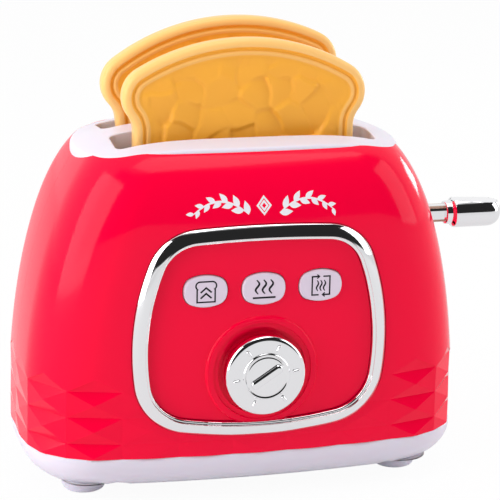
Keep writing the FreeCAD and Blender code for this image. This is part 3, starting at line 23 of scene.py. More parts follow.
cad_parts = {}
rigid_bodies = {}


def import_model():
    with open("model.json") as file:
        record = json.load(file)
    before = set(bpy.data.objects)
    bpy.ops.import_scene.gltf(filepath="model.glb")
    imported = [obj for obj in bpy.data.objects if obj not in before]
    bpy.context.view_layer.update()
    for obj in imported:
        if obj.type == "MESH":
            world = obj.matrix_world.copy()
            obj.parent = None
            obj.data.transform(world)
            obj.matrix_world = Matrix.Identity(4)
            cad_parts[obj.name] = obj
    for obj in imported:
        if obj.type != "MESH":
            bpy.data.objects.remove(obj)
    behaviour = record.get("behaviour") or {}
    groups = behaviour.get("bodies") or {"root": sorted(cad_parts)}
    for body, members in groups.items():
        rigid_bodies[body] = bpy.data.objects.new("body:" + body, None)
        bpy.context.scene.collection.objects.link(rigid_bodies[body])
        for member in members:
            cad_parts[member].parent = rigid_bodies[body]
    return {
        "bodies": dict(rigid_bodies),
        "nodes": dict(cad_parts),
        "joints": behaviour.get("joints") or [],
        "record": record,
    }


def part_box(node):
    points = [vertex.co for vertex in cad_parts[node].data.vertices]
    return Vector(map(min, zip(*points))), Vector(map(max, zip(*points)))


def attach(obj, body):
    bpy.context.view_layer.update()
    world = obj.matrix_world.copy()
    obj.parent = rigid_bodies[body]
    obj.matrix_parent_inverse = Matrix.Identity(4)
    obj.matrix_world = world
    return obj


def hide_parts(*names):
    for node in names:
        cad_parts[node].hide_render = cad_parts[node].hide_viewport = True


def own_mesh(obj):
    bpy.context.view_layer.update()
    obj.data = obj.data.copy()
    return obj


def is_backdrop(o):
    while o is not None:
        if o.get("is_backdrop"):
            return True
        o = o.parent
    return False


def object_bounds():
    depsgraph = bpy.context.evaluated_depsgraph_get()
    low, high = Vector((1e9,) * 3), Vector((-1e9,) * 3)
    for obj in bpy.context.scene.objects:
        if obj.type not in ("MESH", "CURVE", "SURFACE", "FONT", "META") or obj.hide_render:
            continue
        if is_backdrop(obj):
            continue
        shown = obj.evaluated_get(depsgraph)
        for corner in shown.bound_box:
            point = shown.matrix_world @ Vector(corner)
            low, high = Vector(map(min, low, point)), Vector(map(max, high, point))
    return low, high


MM = 0.001
MERGE = 2e-6  # metres between corners that are made one
SLACK = 0.01  # millimetres within which heights count as the same
POLE = 0.02  # radius of the flat that closes a turned shape
LOG = logging.getLogger("toaster")

Colour = tuple[float, float, float]
Point2 = tuple[float, float]
Point3 = tuple[float, float, float]
Piece = bpy.types.Object
Material = bpy.types.Material


class Slot(Enum):
    """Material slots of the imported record."""

    RED = "body_red"
    PALE = "pale_plastic"
    CHROME = "chrome_trim"
    BUTTON = "button_plastic"
    BREAD = "bread_plastic"
    INNER = "inner_plastic"
    NYLON = "gear_nylon"
    BRASS = "gear_brass"
    PLATE = "plate_steel"
    SPRING = "spring_steel"
    SCREW = "screw_steel"


class Rig:
    """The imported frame: its bodies, nodes and centre line."""

    def __init__(self) -> None:
        """Loads the frame and finds the toy's centre line from its two guide rods."""
        self.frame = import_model()
        self.start_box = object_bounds()
        low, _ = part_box("guide_rod_left")
        _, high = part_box("guide_rod_right")
        self.centre = Vector(((low.x + high.x) / 2, (low.y + high.y) / 2, 0.0))

    def at(self, x: float, y: float, z: float) -> Vector:
        """Point of the frame, in metres, from millimetres on the centre line."""
        return self.centre + Vector((x, y, z)) * MM

    def node(self, name: str) -> Piece:
        """CAD object of a node."""
        return self.frame["nodes"][name]

    def box(self, name: str) -> tuple[Vector, Vector]:
        """Lowest and highest corner of a node, in millimetres on the centre line."""
        low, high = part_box(name)
        return (low - self.centre) / MM, (high - self.centre) / MM


@dataclass
class Graph:
    """Short way to add and join the nodes of a shader or geometry tree.

    Attributes:
        tree: The tree that gets the nodes.
    """

    tree: bpy.types.NodeTree

    def add(self, kind: str, inputs: dict | None = None, **settings: object) -> bpy.types.Node:
        """Adds a node.

        Args:
            kind: The node's type name.
            inputs: Values or output sockets by input name or number.
            **settings: Attributes of the node itself.

        Returns:
            The new node.
        """
        node = self.tree.nodes.new(kind)
        for key, value in settings.items():
            setattr(node, key, value)
        self.feed(node, inputs or {})
        return node

    def feed(self, node: bpy.types.Node, inputs: dict) -> None:
        """Gives a node's inputs their values or the sockets that they read.

        Args:
            node: The node.
            inputs: Values or output sockets by input name or number.
        """
        for key, value in inputs.items():
            if isinstance(value, bpy.types.NodeSocket):
                self.tree.links.new(value, node.inputs[key])
            else:
                node.inputs[key].default_value = value

    def maths(self, operation: str, a: object, b: object = 0.0) -> bpy.types.NodeSocket:
        """Result of a Math node."""
        return self.add("ShaderNodeMath", {0: a, 1: b}, operation=operation).outputs[0]

    def rays(self) -> tuple[bpy.types.NodeSocket, bpy.types.NodeSocket]:
        """Whether a ray comes from the camera, and whether it was mirrored or went through glass."""
        path = self.add("ShaderNodeLightPath")
        mirrored = self.maths("MAXIMUM", path.outputs["Is Glossy Ray"], path.outputs["Is Transmission Ray"])
        return path.outputs["Is Camera Ray"], mirrored

    def put_out(self, label: str, copies: bpy.types.Node, finish: bpy.types.NodeSocket) -> None:
        """Ends a geometry tree: makes its copies real and gives them their material.

        Args:
            label: Name of the tree's output.
            copies: The node that makes the copies.
            finish: The socket with the material.
        """
        real = self.add("GeometryNodeRealizeInstances", {"Geometry": copies.outputs[0]})
        painted = self.add("GeometryNodeSetMaterial", {"Geometry": real.outputs[0], "Material": finish})
        self.add("NodeGroupOutput", {label: painted.outputs[0]})


def group_tree(name: str, kind: str, inputs: Iterable[tuple], outputs: Iterable[tuple]) -> bpy.types.NodeTree:
    """Empty node group with named sockets.

    Args:
        name: The group's name.
        kind: ShaderNodeTree or GeometryNodeTree.
        inputs: Name, type and default of each input; a type is Float, Vector, Color or the like.
        outputs: Name and type of each output.

    Returns:
        The group.
    """
    tree = bpy.data.node_groups.new(name, kind)
    for label, sort, default in inputs:
        made = tree.interface.new_socket(label, in_out="INPUT", socket_type=f"NodeSocket{sort}")
        if default is not None:
            made.default_value = default
    for label, sort in outputs:
        tree.interface.new_socket(label, in_out="OUTPUT", socket_type=f"NodeSocket{sort}")
    return tree


# Materials


def moulded_skin() -> bpy.types.NodeTree:
    """Group for moulded or polished surfaces: faint flow marks, haze and fine bump."""
    tree = group_tree("Moulded skin", "ShaderNodeTree",
                      [("Colour", "Color", (1, 1, 1, 1)), ("Shade", "Color", (1, 1, 1, 1)),
                       ("Mottle", "Float", 0.1), ("Roughness", "Float", 0.2), ("Haze", "Float", 0.05),
                       ("Grain size", "Float", 900.0), ("Grain height", "Float", 0.00002)],
                      [("Colour", "Color"), ("Roughness", "Float"), ("Normal", "Vector")])
    g = Graph(tree)
    given = g.add("NodeGroupInput")
    where = g.add("ShaderNodeTexCoord").outputs["Object"]
    flow = g.add("ShaderNodeTexNoise", {"Vector": where, "Scale": 18.0, "Detail": 3.0, "Roughness": 0.5})
    amount = g.maths("MULTIPLY", flow.outputs["Fac"], given.outputs["Mottle"])
    colour = g.add("ShaderNodeMix", {0: amount, 6: given.outputs["Colour"], 7: given.outputs["Shade"]},
                   data_type="RGBA")
    smear = g.add("ShaderNodeTexNoise", {"Vector": where, "Scale": 55.0, "Detail": 5.0, "Roughness": 0.6,
                                         "Distortion": 0.4})
    haze = g.maths("MULTIPLY", smear.outputs["Fac"], given.outputs["Haze"])
    rough = g.maths("ADD", given.outputs["Roughness"], haze)
    grain = g.add("ShaderNodeTexNoise", {"Vector": where, "Scale": given.outputs["Grain size"],
                                         "Detail": 2.0, "Roughness": 0.5})
    bump = g.add("ShaderNodeBump", {"Strength": 1.0, "Distance": given.outputs["Grain height"],
                                    "Height": grain.outputs["Fac"]})
    g.add("NodeGroupOutput", {"Colour": colour.outputs[2], "Roughness": rough,
                              "Normal": bump.outputs["Normal"]})
    return tree


def brushed_streaks() -> bpy.types.NodeTree:
    """Group for drawn or rolled metal: streaks along X that change the roughness and the normal."""
    tree = group_tree("Brushed streaks", "ShaderNodeTree",
                      [("Roughness", "Float", 0.3), ("Streak", "Float", 0.1),
                       ("Height", "Float", 0.00001)],
                      [("Roughness", "Float"), ("Normal", "Vector")])
    g = Graph(tree)
    given = g.add("NodeGroupInput")
    where = g.add("ShaderNodeTexCoord").outputs["Object"]
    along = g.add("ShaderNodeMapping", {"Vector": where, "Scale": (60.0, 2500.0, 2500.0)})
    streak = g.add("ShaderNodeTexNoise", {"Vector": along.outputs[0], "Scale": 1.0, "Detail": 3.0})
    spread = g.maths("MULTIPLY", streak.outputs["Fac"], given.outputs["Streak"])
    rough = g.maths("ADD", given.outputs["Roughness"], spread)
    bump = g.add("ShaderNodeBump", {"Strength": 1.0, "Distance": given.outputs["Height"],
                                    "Height": streak.outputs["Fac"]})
    g.add("NodeGroupOutput", {"Roughness": rough, "Normal": bump.outputs["Normal"]})
    return tree


def new_material(name: str) -> tuple[Material, Graph, bpy.types.Node]:
    """New material, the graph of its nodes and its Principled shader."""
    material = bpy.data.materials.new(name)
    material.use_nodes = True
    return material, Graph(material.node_tree), material.node_tree.nodes["Principled BSDF"]


@dataclass(frozen=True)
class Moulding:
    """A moulded plastic or plated finish.

    Attributes:
        name: Name of the material.
        colour: Main colour, linear.
        shade: Colour that the flow marks lean to.
        mottle: How far they lean.
        roughness: Least roughness.
        haze: How much the smears add to it.
        grain: Size and height of the fine grain.
        metallic: 1 for plating.
        specular: Specular level.
        inside: Share of light that scatters inside the plastic.
        inside_radius: How far it travels, in metres.
        rim: Colour of the painted highlight on a piece's ridges and edges, linear, or None.
    """

    name: str
    colour: Colour
    shade: Colour
    mottle: float = 0.12
    roughness: float = 0.2
    haze: float = 0.05
    grain: Point2 = (900.0, 0.000004)
    metallic: float = 0.0
    specular: float = 0.5
    inside: float = 0.0
    inside_radius: float = 0.002
    rim: Colour | None = None

    def build(self, skin: bpy.types.NodeTree) -> Material:
        """Makes the material.

        Args:
            skin: The moulded-skin group.

        Returns:
            The material.
        """
        material, g, shader = new_material(self.name)
        grain_size, grain_height = self.grain
        given = {"Colour": (*self.colour, 1), "Shade": (*self.shade, 1), "Mottle": self.mottle,
                 "Roughness": self.roughness, "Haze": self.haze, "Grain size": grain_size,
                 "Grain height": grain_height}
        # A paler colour mixed in by the rim attribute: painted highlight on ridges and edges.
        if self.rim:
            share = g.add("ShaderNodeAttribute", attribute_name="rim")
            highlight_tint = g.add("ShaderNodeMix", {0: share.outputs["Fac"], 6: given["Colour"], 7: (*self.rim, 1)},
                         data_type="RGBA")
            given["Colour"] = highlight_tint.outputs[2]
        made = g.add("ShaderNodeGroup", given, node_tree=skin)
        g.feed(shader, {"Base Color": made.outputs["Colour"], "Roughness": made.outputs["Roughness"],
                        "Normal": made.outputs["Normal"], "Metallic": self.metallic,
                        "Specular IOR Level": self.specular, "Subsurface Weight": self.inside,
                        "Subsurface Scale": self.inside_radius})
        return material


@dataclass(frozen=True)
class DrawnMetal:
    """Bare metal with streaks.

    Attributes:
        name: Name of the material.
        colour: Colour of the metal, linear.
        roughness: Least roughness.
        streak: How much the streaks add to it.
    """

    name: str
    colour: Colour
    roughness: float = 0.28
    streak: float = 0.15

    def build(self, streaks: bpy.types.NodeTree) -> Material:
        """Makes the material.

        Args:
            streaks: The brushed-streaks group.

        Returns:
            The material.
        """
        material, g, shader = new_material(self.name)
        made = g.add("ShaderNodeGroup", {"Roughness": self.roughness, "Streak": self.streak},
                     node_tree=streaks)
        g.feed(shader, {"Roughness": made.outputs["Roughness"], "Normal": made.outputs["Normal"],
                        "Base Color": (*self.colour, 1), "Metallic": 1.0})
        return material


class Finishes:
    """All the toy's materials, by slot."""

    def __init__(self) -> None:
        """Builds the groups and the materials."""
        skin, streaks = moulded_skin(), brushed_streaks()
        self.by_slot = {
            Slot.RED: Moulding("Glossy red shell", (0.93, 0.0, 0.04), (0.84, 0.0, 0.03), roughness=0.09,
                               haze=0.05, specular=0.16).build(skin),
            Slot.PALE: Moulding("Pale lilac plastic", (0.75, 0.71, 0.81), (0.7, 0.66, 0.78), roughness=0.26,
                                haze=0.1, specular=0.3, inside=0.12).build(skin),
            Slot.CHROME: Moulding("Chrome plating", (0.9, 0.9, 0.92), (0.82, 0.83, 0.86), roughness=0.035,
                                  haze=0.05, metallic=1.0, grain=(260.0, 0.000008)).build(skin),
            Slot.BUTTON: Moulding("Button plastic", (0.74, 0.64, 0.76), (0.68, 0.58, 0.7), roughness=0.3,
                                  haze=0.1, specular=0.3).build(skin),
            # The toast's rim colour is painted highlight on its crust's outer edge and second ridge.
            Slot.BREAD: Moulding("Toasted plastic", (1.0, 0.47, 0.05), (1.0, 0.37, 0.03), mottle=0.3,
                                 roughness=0.3, haze=0.1, grain=(700.0, 0.00001), specular=0.3,
                                 rim=(1.0, 0.62, 0.22)).build(skin),
            Slot.INNER: Moulding("Inner plastic", (0.5, 0.44, 0.33), (0.42, 0.37, 0.28), roughness=0.45,
                                 haze=0.15).build(skin),
            Slot.NYLON: Moulding("Gear nylon", (0.82, 0.79, 0.7), (0.74, 0.7, 0.6), roughness=0.42,
                                 haze=0.12, inside=0.1).build(skin),
            Slot.BRASS: DrawnMetal("Turned brass", (0.78, 0.56, 0.2)).build(streaks),
            Slot.PLATE: DrawnMetal("Rolled steel sheet", (0.55, 0.56, 0.58), 0.32).build(streaks),
            Slot.SPRING: DrawnMetal("Drawn steel wire", (0.5, 0.5, 0.53), 0.22).build(streaks),
            Slot.SCREW: DrawnMetal("Zinc-plated screw", (0.58, 0.58, 0.56), 0.25).build(streaks),
        }
        self.print = Moulding("Pale print", (0.86, 0.84, 0.9), (0.8, 0.78, 0.86), roughness=0.3).build(skin)
        self.ink = Moulding("Dark print", (0.012, 0.01, 0.016), (0.02, 0.015, 0.02), roughness=0.4,
                            specular=0.15).build(skin)

    def dress(self, rig: Rig) -> None:
        """Gives every CAD node the material of its slot.

        Args:
            rig: The frame.
        """
        for entry in rig.frame["record"]["subparts"]:
            piece = rig.node(entry["node"])
            piece.data.materials.clear()
            piece.data.materials.append(self.by_slot[Slot(entry["material_slot"])])
            LOG.info("dressed %s", piece.name)


# Meshes


class Draft:
    """Corners and faces of a piece while it is drawn, in millimetres on the toy's centre line.

    Its rim says, for some corners, how much of the painted highlight on a piece's ridges and edges they get.
    """

    def __init__(self) -> None:
        """Starts with nothing."""
        self.corners: list[Vector] = []
        self.faces: list[tuple[int, ...]] = []
        self.rim: dict[int, float] = {}

    def ring(self, points: Iterable[Sequence[float]]) -> list[int]:
        """Adds corners and returns their numbers."""
        first = len(self.corners)
        self.corners += [Vector(p) for p in points]
        return list(range(first, len(self.corners)))

    def bridge(self, a: Sequence[int], b: Sequence[int], closed: bool = True) -> None:
        """Adds the faces between two rings with as many corners.

        Args:
            a: Corner numbers of one ring.
            b: Those of the other.
            closed: Whether the rings are closed.
        """
        count = len(a)
        for i in range(count if closed else count - 1):
            j = (i + 1) % count
            self.faces.append((a[i], a[j], b[j], b[i]))

    def loft(self, rings: Iterable[Iterable[Sequence[float]]], looped: bool = False,
             capped: bool = False) -> list[list[int]]:
        """Adds closed rings and the faces from each to the next.

        Args:
            rings: Points of each ring.
            looped: Whether the last ring joins the first.
            capped: Whether the first and the last ring are filled.

        Returns:
            The corner numbers of every ring.
        """
        made = [self.ring(points) for points in rings]
        for a, b in zip(made, made[1:] + (made[:1] if looped else [])):
            self.bridge(a, b)
        if capped:
            self.faces += [tuple(made[0]), tuple(made[-1])]
        return made

    def ribbon(self, points: Sequence[Point2], width: float,
               spot: Callable[[float, float, int], Sequence[float]], closed: bool = False,
               taper: bool = False) -> None:
        """Adds one printed line with a little thickness.

        Args:
            points: Its course in the plane of the print.
            width: Its width.
            spot: Place of a point of the print, in front (-1) or behind (1).
            closed: Whether it ends where it starts.
            taper: Whether its ends run thin.
        """
        least_cosine = 0.5
        count = len(points)
        sides: list[list[Point2]] = [[], []]
        for n, (u, v) in enumerate(points):
            before = points[n - 1] if closed or n else None
            after = points[(n + 1) % count] if closed or n < count - 1 else None
            ways = [Vector((u - before[0], v - before[1])).normalized()] if before else []
            ways += [Vector((after[0] - u, after[1] - v)).normalized()] if after else []
            along = sum(ways, Vector((0, 0))).normalized()
            grow = 1 / max(least_cosine, along.dot(ways[-1]))
            thin = 0.5 + 0.5 * sin(pi * n / (count - 1)) if taper else 1.0
            off = Vector((-along.y, along.x)) * width / 2 * grow * thin
            sides[0].append((u + off.x, v + off.y))
            sides[1].append((u - off.x, v - off.y))
        rings = [self.ring(spot(u, v, way) for u, v in sides[side]) for side, way in
                 ((0, -1), (1, -1), (1, 1), (0, 1))]
        for a, b in zip(rings, rings[1:] + rings[:1]):
            self.bridge(a, b, closed=closed)
        if not closed:
            self.faces += [tuple(ring[end] for ring in rings) for end in (0, -1)]

    def piece(self, rig: Rig, name: str, material: Material, crease: float = 35.0) -> Piece:
        """Makes the object.

        Args:
            rig: The frame.
            name: Name of the object.
            material: Its material.
            crease: Angle in degrees above which an edge stays sharp.

        Returns:
            The object, merged, with its faces outwards.
        """
        made = mesh_piece(name, [rig.at(*c) for c in self.corners], self.faces, material)
        # Share of painted highlight at each corner, read by the material's rim colour.
        if self.rim:
            layer = made.data.attributes.new("rim", "FLOAT", "POINT")
            for n, share in self.rim.items():
                layer.data[n].value = share
        outward(made)
        made.data.shade_smooth()
        made.data.set_sharp_from_angle(angle=radians(crease))
        return made


def add_object(name: str, data: bpy.types.ID) -> Piece:
    """New object of the scene."""
    made = bpy.data.objects.new(name, data)
    bpy.context.scene.collection.objects.link(made)
    return made


def mesh_piece(name: str, corners: Sequence[Vector], faces: Sequence[Sequence[int]],
               material: Material) -> Piece:
    """Object made of corners and faces.

    Args:
        name: Name of the object and its mesh.
        corners: The corners, in metres.
        faces: Corner numbers of each face.
        material: Its material.

    Returns:
        The object.
    """
    mesh = bpy.data.meshes.new(name)
    mesh.from_pydata([tuple(c) for c in corners], [], [tuple(f) for f in faces])
    mesh.validate()
    mesh.materials.append(material)
    return add_object(name, mesh)


@contextmanager
def edited(piece: Piece) -> Iterator[bmesh.types.BMesh]:
    """Opens a piece's mesh for editing and writes the result back."""
    work = bmesh.new()
    work.from_mesh(piece.data)
    yield work
    work.to_mesh(piece.data)
    work.free()


def outward(piece: Piece) -> None:
    """Merges doubles and turns all faces outwards."""
    with edited(piece) as work:
        bmesh.ops.remove_doubles(work, verts=work.verts, dist=MERGE)
        bmesh.ops.dissolve_degenerate(work, edges=work.edges, dist=1e-7)
        bmesh.ops.recalc_face_normals(work, faces=work.faces)


def settle(piece: Piece) -> Piece:
    """Turns the modifiers' result into the piece's own mesh, drops them and returns the piece."""
    bpy.context.view_layer.update()
    graph = bpy.context.evaluated_depsgraph_get()
    mesh = bpy.data.meshes.new_from_object(piece.evaluated_get(graph), preserve_all_data_layers=True,
                                           depsgraph=graph)
    old = piece.data
    piece.modifiers.clear()
    piece.data = mesh
    mesh.name = piece.name
    bpy.data.meshes.remove(old)
    return piece


def cut(piece: Piece, tool: Piece) -> None:
    """Cuts a closed tool out of a piece and removes the tool."""
    step = piece.modifiers.new("cut", "BOOLEAN")
    step.operation, step.object, step.solver = "DIFFERENCE", tool, "MANIFOLD"
    settle(piece)
    bpy.data.objects.remove(tool)


def to_origin(rig: Rig, piece: Piece) -> None:
    """Moves a piece that was drawn round the centre line to the frame's origin."""
    piece.data.transform(Matrix.Translation(-rig.at(0, 0, 0)))


def join(piece: Piece, part: Piece) -> None:
    """Adds another mesh to a piece and removes its object."""
    with edited(piece) as work:
        work.from_mesh(part.data)
    bpy.data.objects.remove(part)


def soften(piece: Piece, crease: float) -> Piece:
    """Smooth shading that follows the large faces.

    Args:
        piece: The piece.
        crease: Angle in degrees above which an edge stays sharp.

    Returns:
        The piece.
    """
    piece.data.shade_smooth()
    piece.data.set_sharp_from_angle(angle=radians(crease))
    step = piece.modifiers.new("even shading", "WEIGHTED_NORMAL")
    step.keep_sharp, step.weight = True, 60
    return settle(piece)


def place(piece: Piece, body: str, slot: Slot, *nodes: str) -> None:
    """Makes a piece ride its body and hides the CAD nodes that it replaces.

    Args:
        piece: The piece.
        body: The body that carries it.
        slot: Its material slot; not used.
        *nodes: CAD nodes that it replaces.
    """
    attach(piece, body)
    if nodes:
        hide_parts(*nodes)
    LOG.info("%s rides %s, %d faces", piece.name, body, len(piece.data.polygons))


# Outlines


@dataclass
class Arc:
    """Circular arc.

    Attributes:
        centre: Its centre.
        radius: Its radius.
        start: Start angle in radians.
        end: End angle in radians.
    """

    centre: Point2
    radius: float
    start: float
    end: float

    @property
    def length(self) -> float:
        """Length along the arc."""
        return abs(self.radius * (self.end - self.start))

    def point(self, t: float) -> Point2:
        """Point at share t of the arc."""
        angle = self.start + (self.end - self.start) * t
        return self.centre[0] + self.radius * cos(angle), self.centre[1] + self.radius * sin(angle)


def tangent_corner(low: Point2, low_r: float, side: Point2, side_r: float, r: float) -> Point2:
    """Centre of a corner arc that runs tangent inside two larger arcs.

    Args:
        low: Centre of the lower arc.
        low_r: Its radius.
        side: Centre of the side arc.
        side_r: Its radius.
        r: Radius of the corner.

    Returns:
        The centre further to the right.
    """
    gap = math.dist(low, side)
    along = ((low_r - r) ** 2 - (side_r - r) ** 2 + gap ** 2) / (2 * gap)
    off = sqrt((low_r - r) ** 2 - along ** 2)
    ux, uy = (side[0] - low[0]) / gap, (side[1] - low[1]) / gap
    return max((low[0] + ux * along + s * uy * off, low[1] + uy * along - s * ux * off) for s in (1, -1))


@dataclass
class Outline:
    """Closed outline of tangent arcs, the same on both sides of u = 0.

    Attributes:
        half: Half width.
        low: Lowest v.
        high: Highest v.
        wide: V of the widest place.
        low_r: Radius of the lower arc.
        high_r: Radius of the upper arc.
        side_r: Radius of the side arcs.
        low_corner: Radius of the lower corners.
        high_corner: Radius of the upper corners.
    """

    half: float
    low: float
    high: float
    wide: float
    low_r: float
    high_r: float
    side_r: float
    low_corner: float
    high_corner: float

    def inset(self, w: float) -> Outline:
        """The outline drawn in by w all round."""
        return Outline(self.half - w, self.low + w, self.high - w, self.wide, self.low_r - w, self.high_r - w,
                       self.side_r - w, self.low_corner - w, self.high_corner - w)

    def right(self) -> list[Arc]:
        """Five arcs of the right half, from the lowest point to the highest."""
        low, high = (0.0, self.low + self.low_r), (0.0, self.high - self.high_r)
        side = (self.half - self.side_r, self.wide)
        first = tangent_corner(low, self.low_r, side, self.side_r, self.low_corner)
        flipped = tangent_corner((0.0, -high[1]), self.high_r, (side[0], -side[1]), self.side_r,
                                 self.high_corner)
        last = (flipped[0], -flipped[1])

        def angle(start: Point2, end: Point2) -> float:
            """Direction from one point to another."""
            return math.atan2(end[1] - start[1], end[0] - start[0])

        turns = [-pi / 2, angle(low, first), angle(side, first), angle(side, last), angle(high, last),
                 pi / 2]
        centres = (low, first, side, last, high)
        radii = (self.low_r, self.low_corner, self.side_r, self.high_corner, self.high_r)
        return [Arc(c, r, a, b) for c, r, a, b in zip(centres, radii, turns, turns[1:])]

    def loop(self, steps: Sequence[int] = (14, 10, 12, 10, 14)) -> list[Point2]:
        """Points round the outline, with as many on each arc whatever the inset."""
        half = [arc.point(i / n) for arc, n in zip(self.right(), steps) for i in range(n)]
        half.append((0.0, self.high))
        return half + [(-u, v) for u, v in reversed(half[1:-1])]

    def quarter_point(self, turn: float) -> Point2:
        """Point of an outline whose four quarters are the same.

        Args:
            turn: Quarters from the lowest point, to the right.

        Returns:
            The point.
        """
        turn %= 4.0
        side = 1 if turn < 2 else -1
        turn = turn if turn < 2 else 4 - turn
        far = turn > 1
        arcs = self.right()[:3]
        arcs[2] = Arc(arcs[2].centre, arcs[2].radius, arcs[2].start, 0.0)
        left = (2 - turn if far else turn) * sum(arc.length for arc in arcs)
        for arc in arcs:
            if left <= arc.length or arc is arcs[2]:
                u, v = arc.point(min(1.0, left / arc.length))
                return side * u, -v if far else v
            left -= arc.length
        return side * self.half, 0.0


def oval(half_x: float, half_y: float, corner: float, front_r: float, end_r: float) -> Outline:
    """Outline of four bowed sides, the same front and back."""
    return Outline(half_x, -half_y, half_y, 0.0, front_r, front_r, end_r, corner, corner)


def inside(outline: Sequence[Point2], p: Point2) -> bool:
    """Whether a point lies inside a closed polygon."""
    found = False
    for (x0, y0), (x1, y1) in zip(outline, list(outline[1:]) + [outline[0]]):
        if (y0 > p[1]) != (y1 > p[1]) and p[0] < (x1 - x0) * (p[1] - y0) / (y1 - y0) + x0:
            found = not found
    return found


def full_turn(count: int) -> list[float]:
    """Angles spread evenly round a circle."""
    return [2 * pi * i / count for i in range(count)]


def quarter_turn(steps: int, first: int = 0) -> list[float]:
    """Angles from 0 to a right angle in equal steps."""
    return [pi / 2 * i / steps for i in range(first, steps + 1)]


def circle(x: float, y: float, z: float, r: float, count: int) -> list[Point3]:
    """Points of a circle about an axis along Y."""
    return [(x + r * cos(a), y, z + r * sin(a)) for a in full_turn(count)]


def quarter_round(radius: float, steps: int = 5) -> list[Point2]:
    """Inset and drop of the points of a rounded edge, from the top face to the side."""
    return [(radius * (1 - sin(a)), radius * (1 - cos(a))) for a in quarter_turn(steps)]


def crossing(low: float, high: float, past: Callable[[float], bool], halvings: int) -> float:
    """Height at which a test starts to hold.

    Args:
        low: A height at which it does not hold.
        high: A height at which it does.
        past: The test.
        halvings: How often the gap is halved.

    Returns:
        The lower end of the last gap.
    """
    for _ in range(halvings):
        middle = (low + high) / 2
        low, high = (low, middle) if past(middle) else (middle, high)
    return low


def triangulated(loops: Sequence[Sequence[Point2]],
                 extra: Iterable[Point2]) -> tuple[list[Vector], list[list[int]]]:
    """Triangles inside closed loops.

    Args:
        loops: The loops, whose sides become edges.
        extra: Further points to use.

    Returns:
        The corners, and the corner numbers of each triangle.
    """
    points, edges = [], []
    for loop in loops:
        first = len(points)
        points += loop
        edges += [(first + i, first + (i + 1) % len(loop)) for i in range(len(loop))]
    points += extra
    made = delaunay_2d_cdt([Vector(p) for p in points], edges, [], 1, 1e-5)
    return made[0], made[2]


# Body


@dataclass
class BodyShape:
    """Outer surface of the red shell.

    Attributes:
        half_length: Half length at the foot.
        half_depth: Half depth up to the shoulder.
        corner: Corner radius at the foot.
        front_r: Radius of the bowed front.
        end_r: Radius of the bowed ends.
        seam_z: Height of the lower edge.
        end_lean: How far, from and to what height the ends curve in.
        front_lean: The same for the front and the rear.
        top_gap: How far under its closing height the surface is still followed.
    """

    half_length: float = 95.0
    half_depth: float = 53.0
    corner: float = 32.0
    front_r: float = 527.0
    end_r: float = 300.0
    seam_z: float = 21.3
    end_lean: Point3 = (44.5, 25.0, 151.7)
    front_lean: Point3 = (20.0, 112.0, 147.0)
    top_gap: float = 0.02

    @staticmethod
    def lean(z: float, rule: Point3) -> float:
        """How far a wall has curved in at height z, by its lean."""
        amount, start, end = rule
        t = min(1.0, max(0.0, (z - start) / (end - start)))
        return amount * (1 - sqrt(1 - t * t))

    def section(self, z: float) -> Outline:
        """Outline at height z."""
        half_y = self.half_depth - self.lean(z, self.front_lean)
        return oval(self.half_length - self.lean(z, self.end_lean), half_y,
                    self.corner * half_y / self.half_depth, self.front_r, self.end_r)

    def point(self, turn: float, z: float) -> Vector:
        """Point of the surface; turn counts quarters from the front's middle."""
        return Vector((*self.section(z).quarter_point(turn), z))

    def front_y(self, x: float, z: float) -> float:
        """Y of the front at x and z."""
        half_y = self.half_depth - self.lean(z, self.front_lean)
        return self.front_r - half_y - sqrt(self.front_r ** 2 - x * x)

    def bow_y(self, x: float, proud: float = 0.0) -> float:
        """Y of a face that follows the front's bow, proud of it."""
        return self.front_r - self.half_depth - sqrt((self.front_r + proud) ** 2 - x * x)

    def height_at(self, loop: Sequence[Point2], turn: float) -> float:
        """Height at which the surface crosses a loop seen from above, at a turn in quarters."""
        _, start, end = self.front_lean
        return crossing(start, end - self.top_gap,
                        lambda z: inside(loop, self.section(z).quarter_point(turn)), halvings=18)

    def slab(self, rig: Rig, name: str, outline: Outline, front: float, back: float,
             material: Material) -> Piece:
        """Plate bent to the front's bow.

        Args:
            rig: The frame.
            name: Name of the object.
            outline: Its outline seen from the front.
            front: How far its front stands out of the body's.
            back: The same for its back.
            material: Its material.

        Returns:
            The object.
        """
        draft = Draft()
        draft.loft([[(u, self.bow_y(u, proud), v) for u, v in outline.loop()] for proud in (front, back)],
                   capped=True)
        return draft.piece(rig, name, material)


TRIM_OUTLINE = oval(half_x=69.6, half_y=37.4, corner=17.0, front_r=527.0, end_r=62.0)
BEZEL_OUTLINE = Outline(half=54.0, low=29.3, high=119.4, wide=67.0, low_r=210.0, high_r=380.0,
                        side_r=105.0, low_corner=24.0, high_corner=22.0)


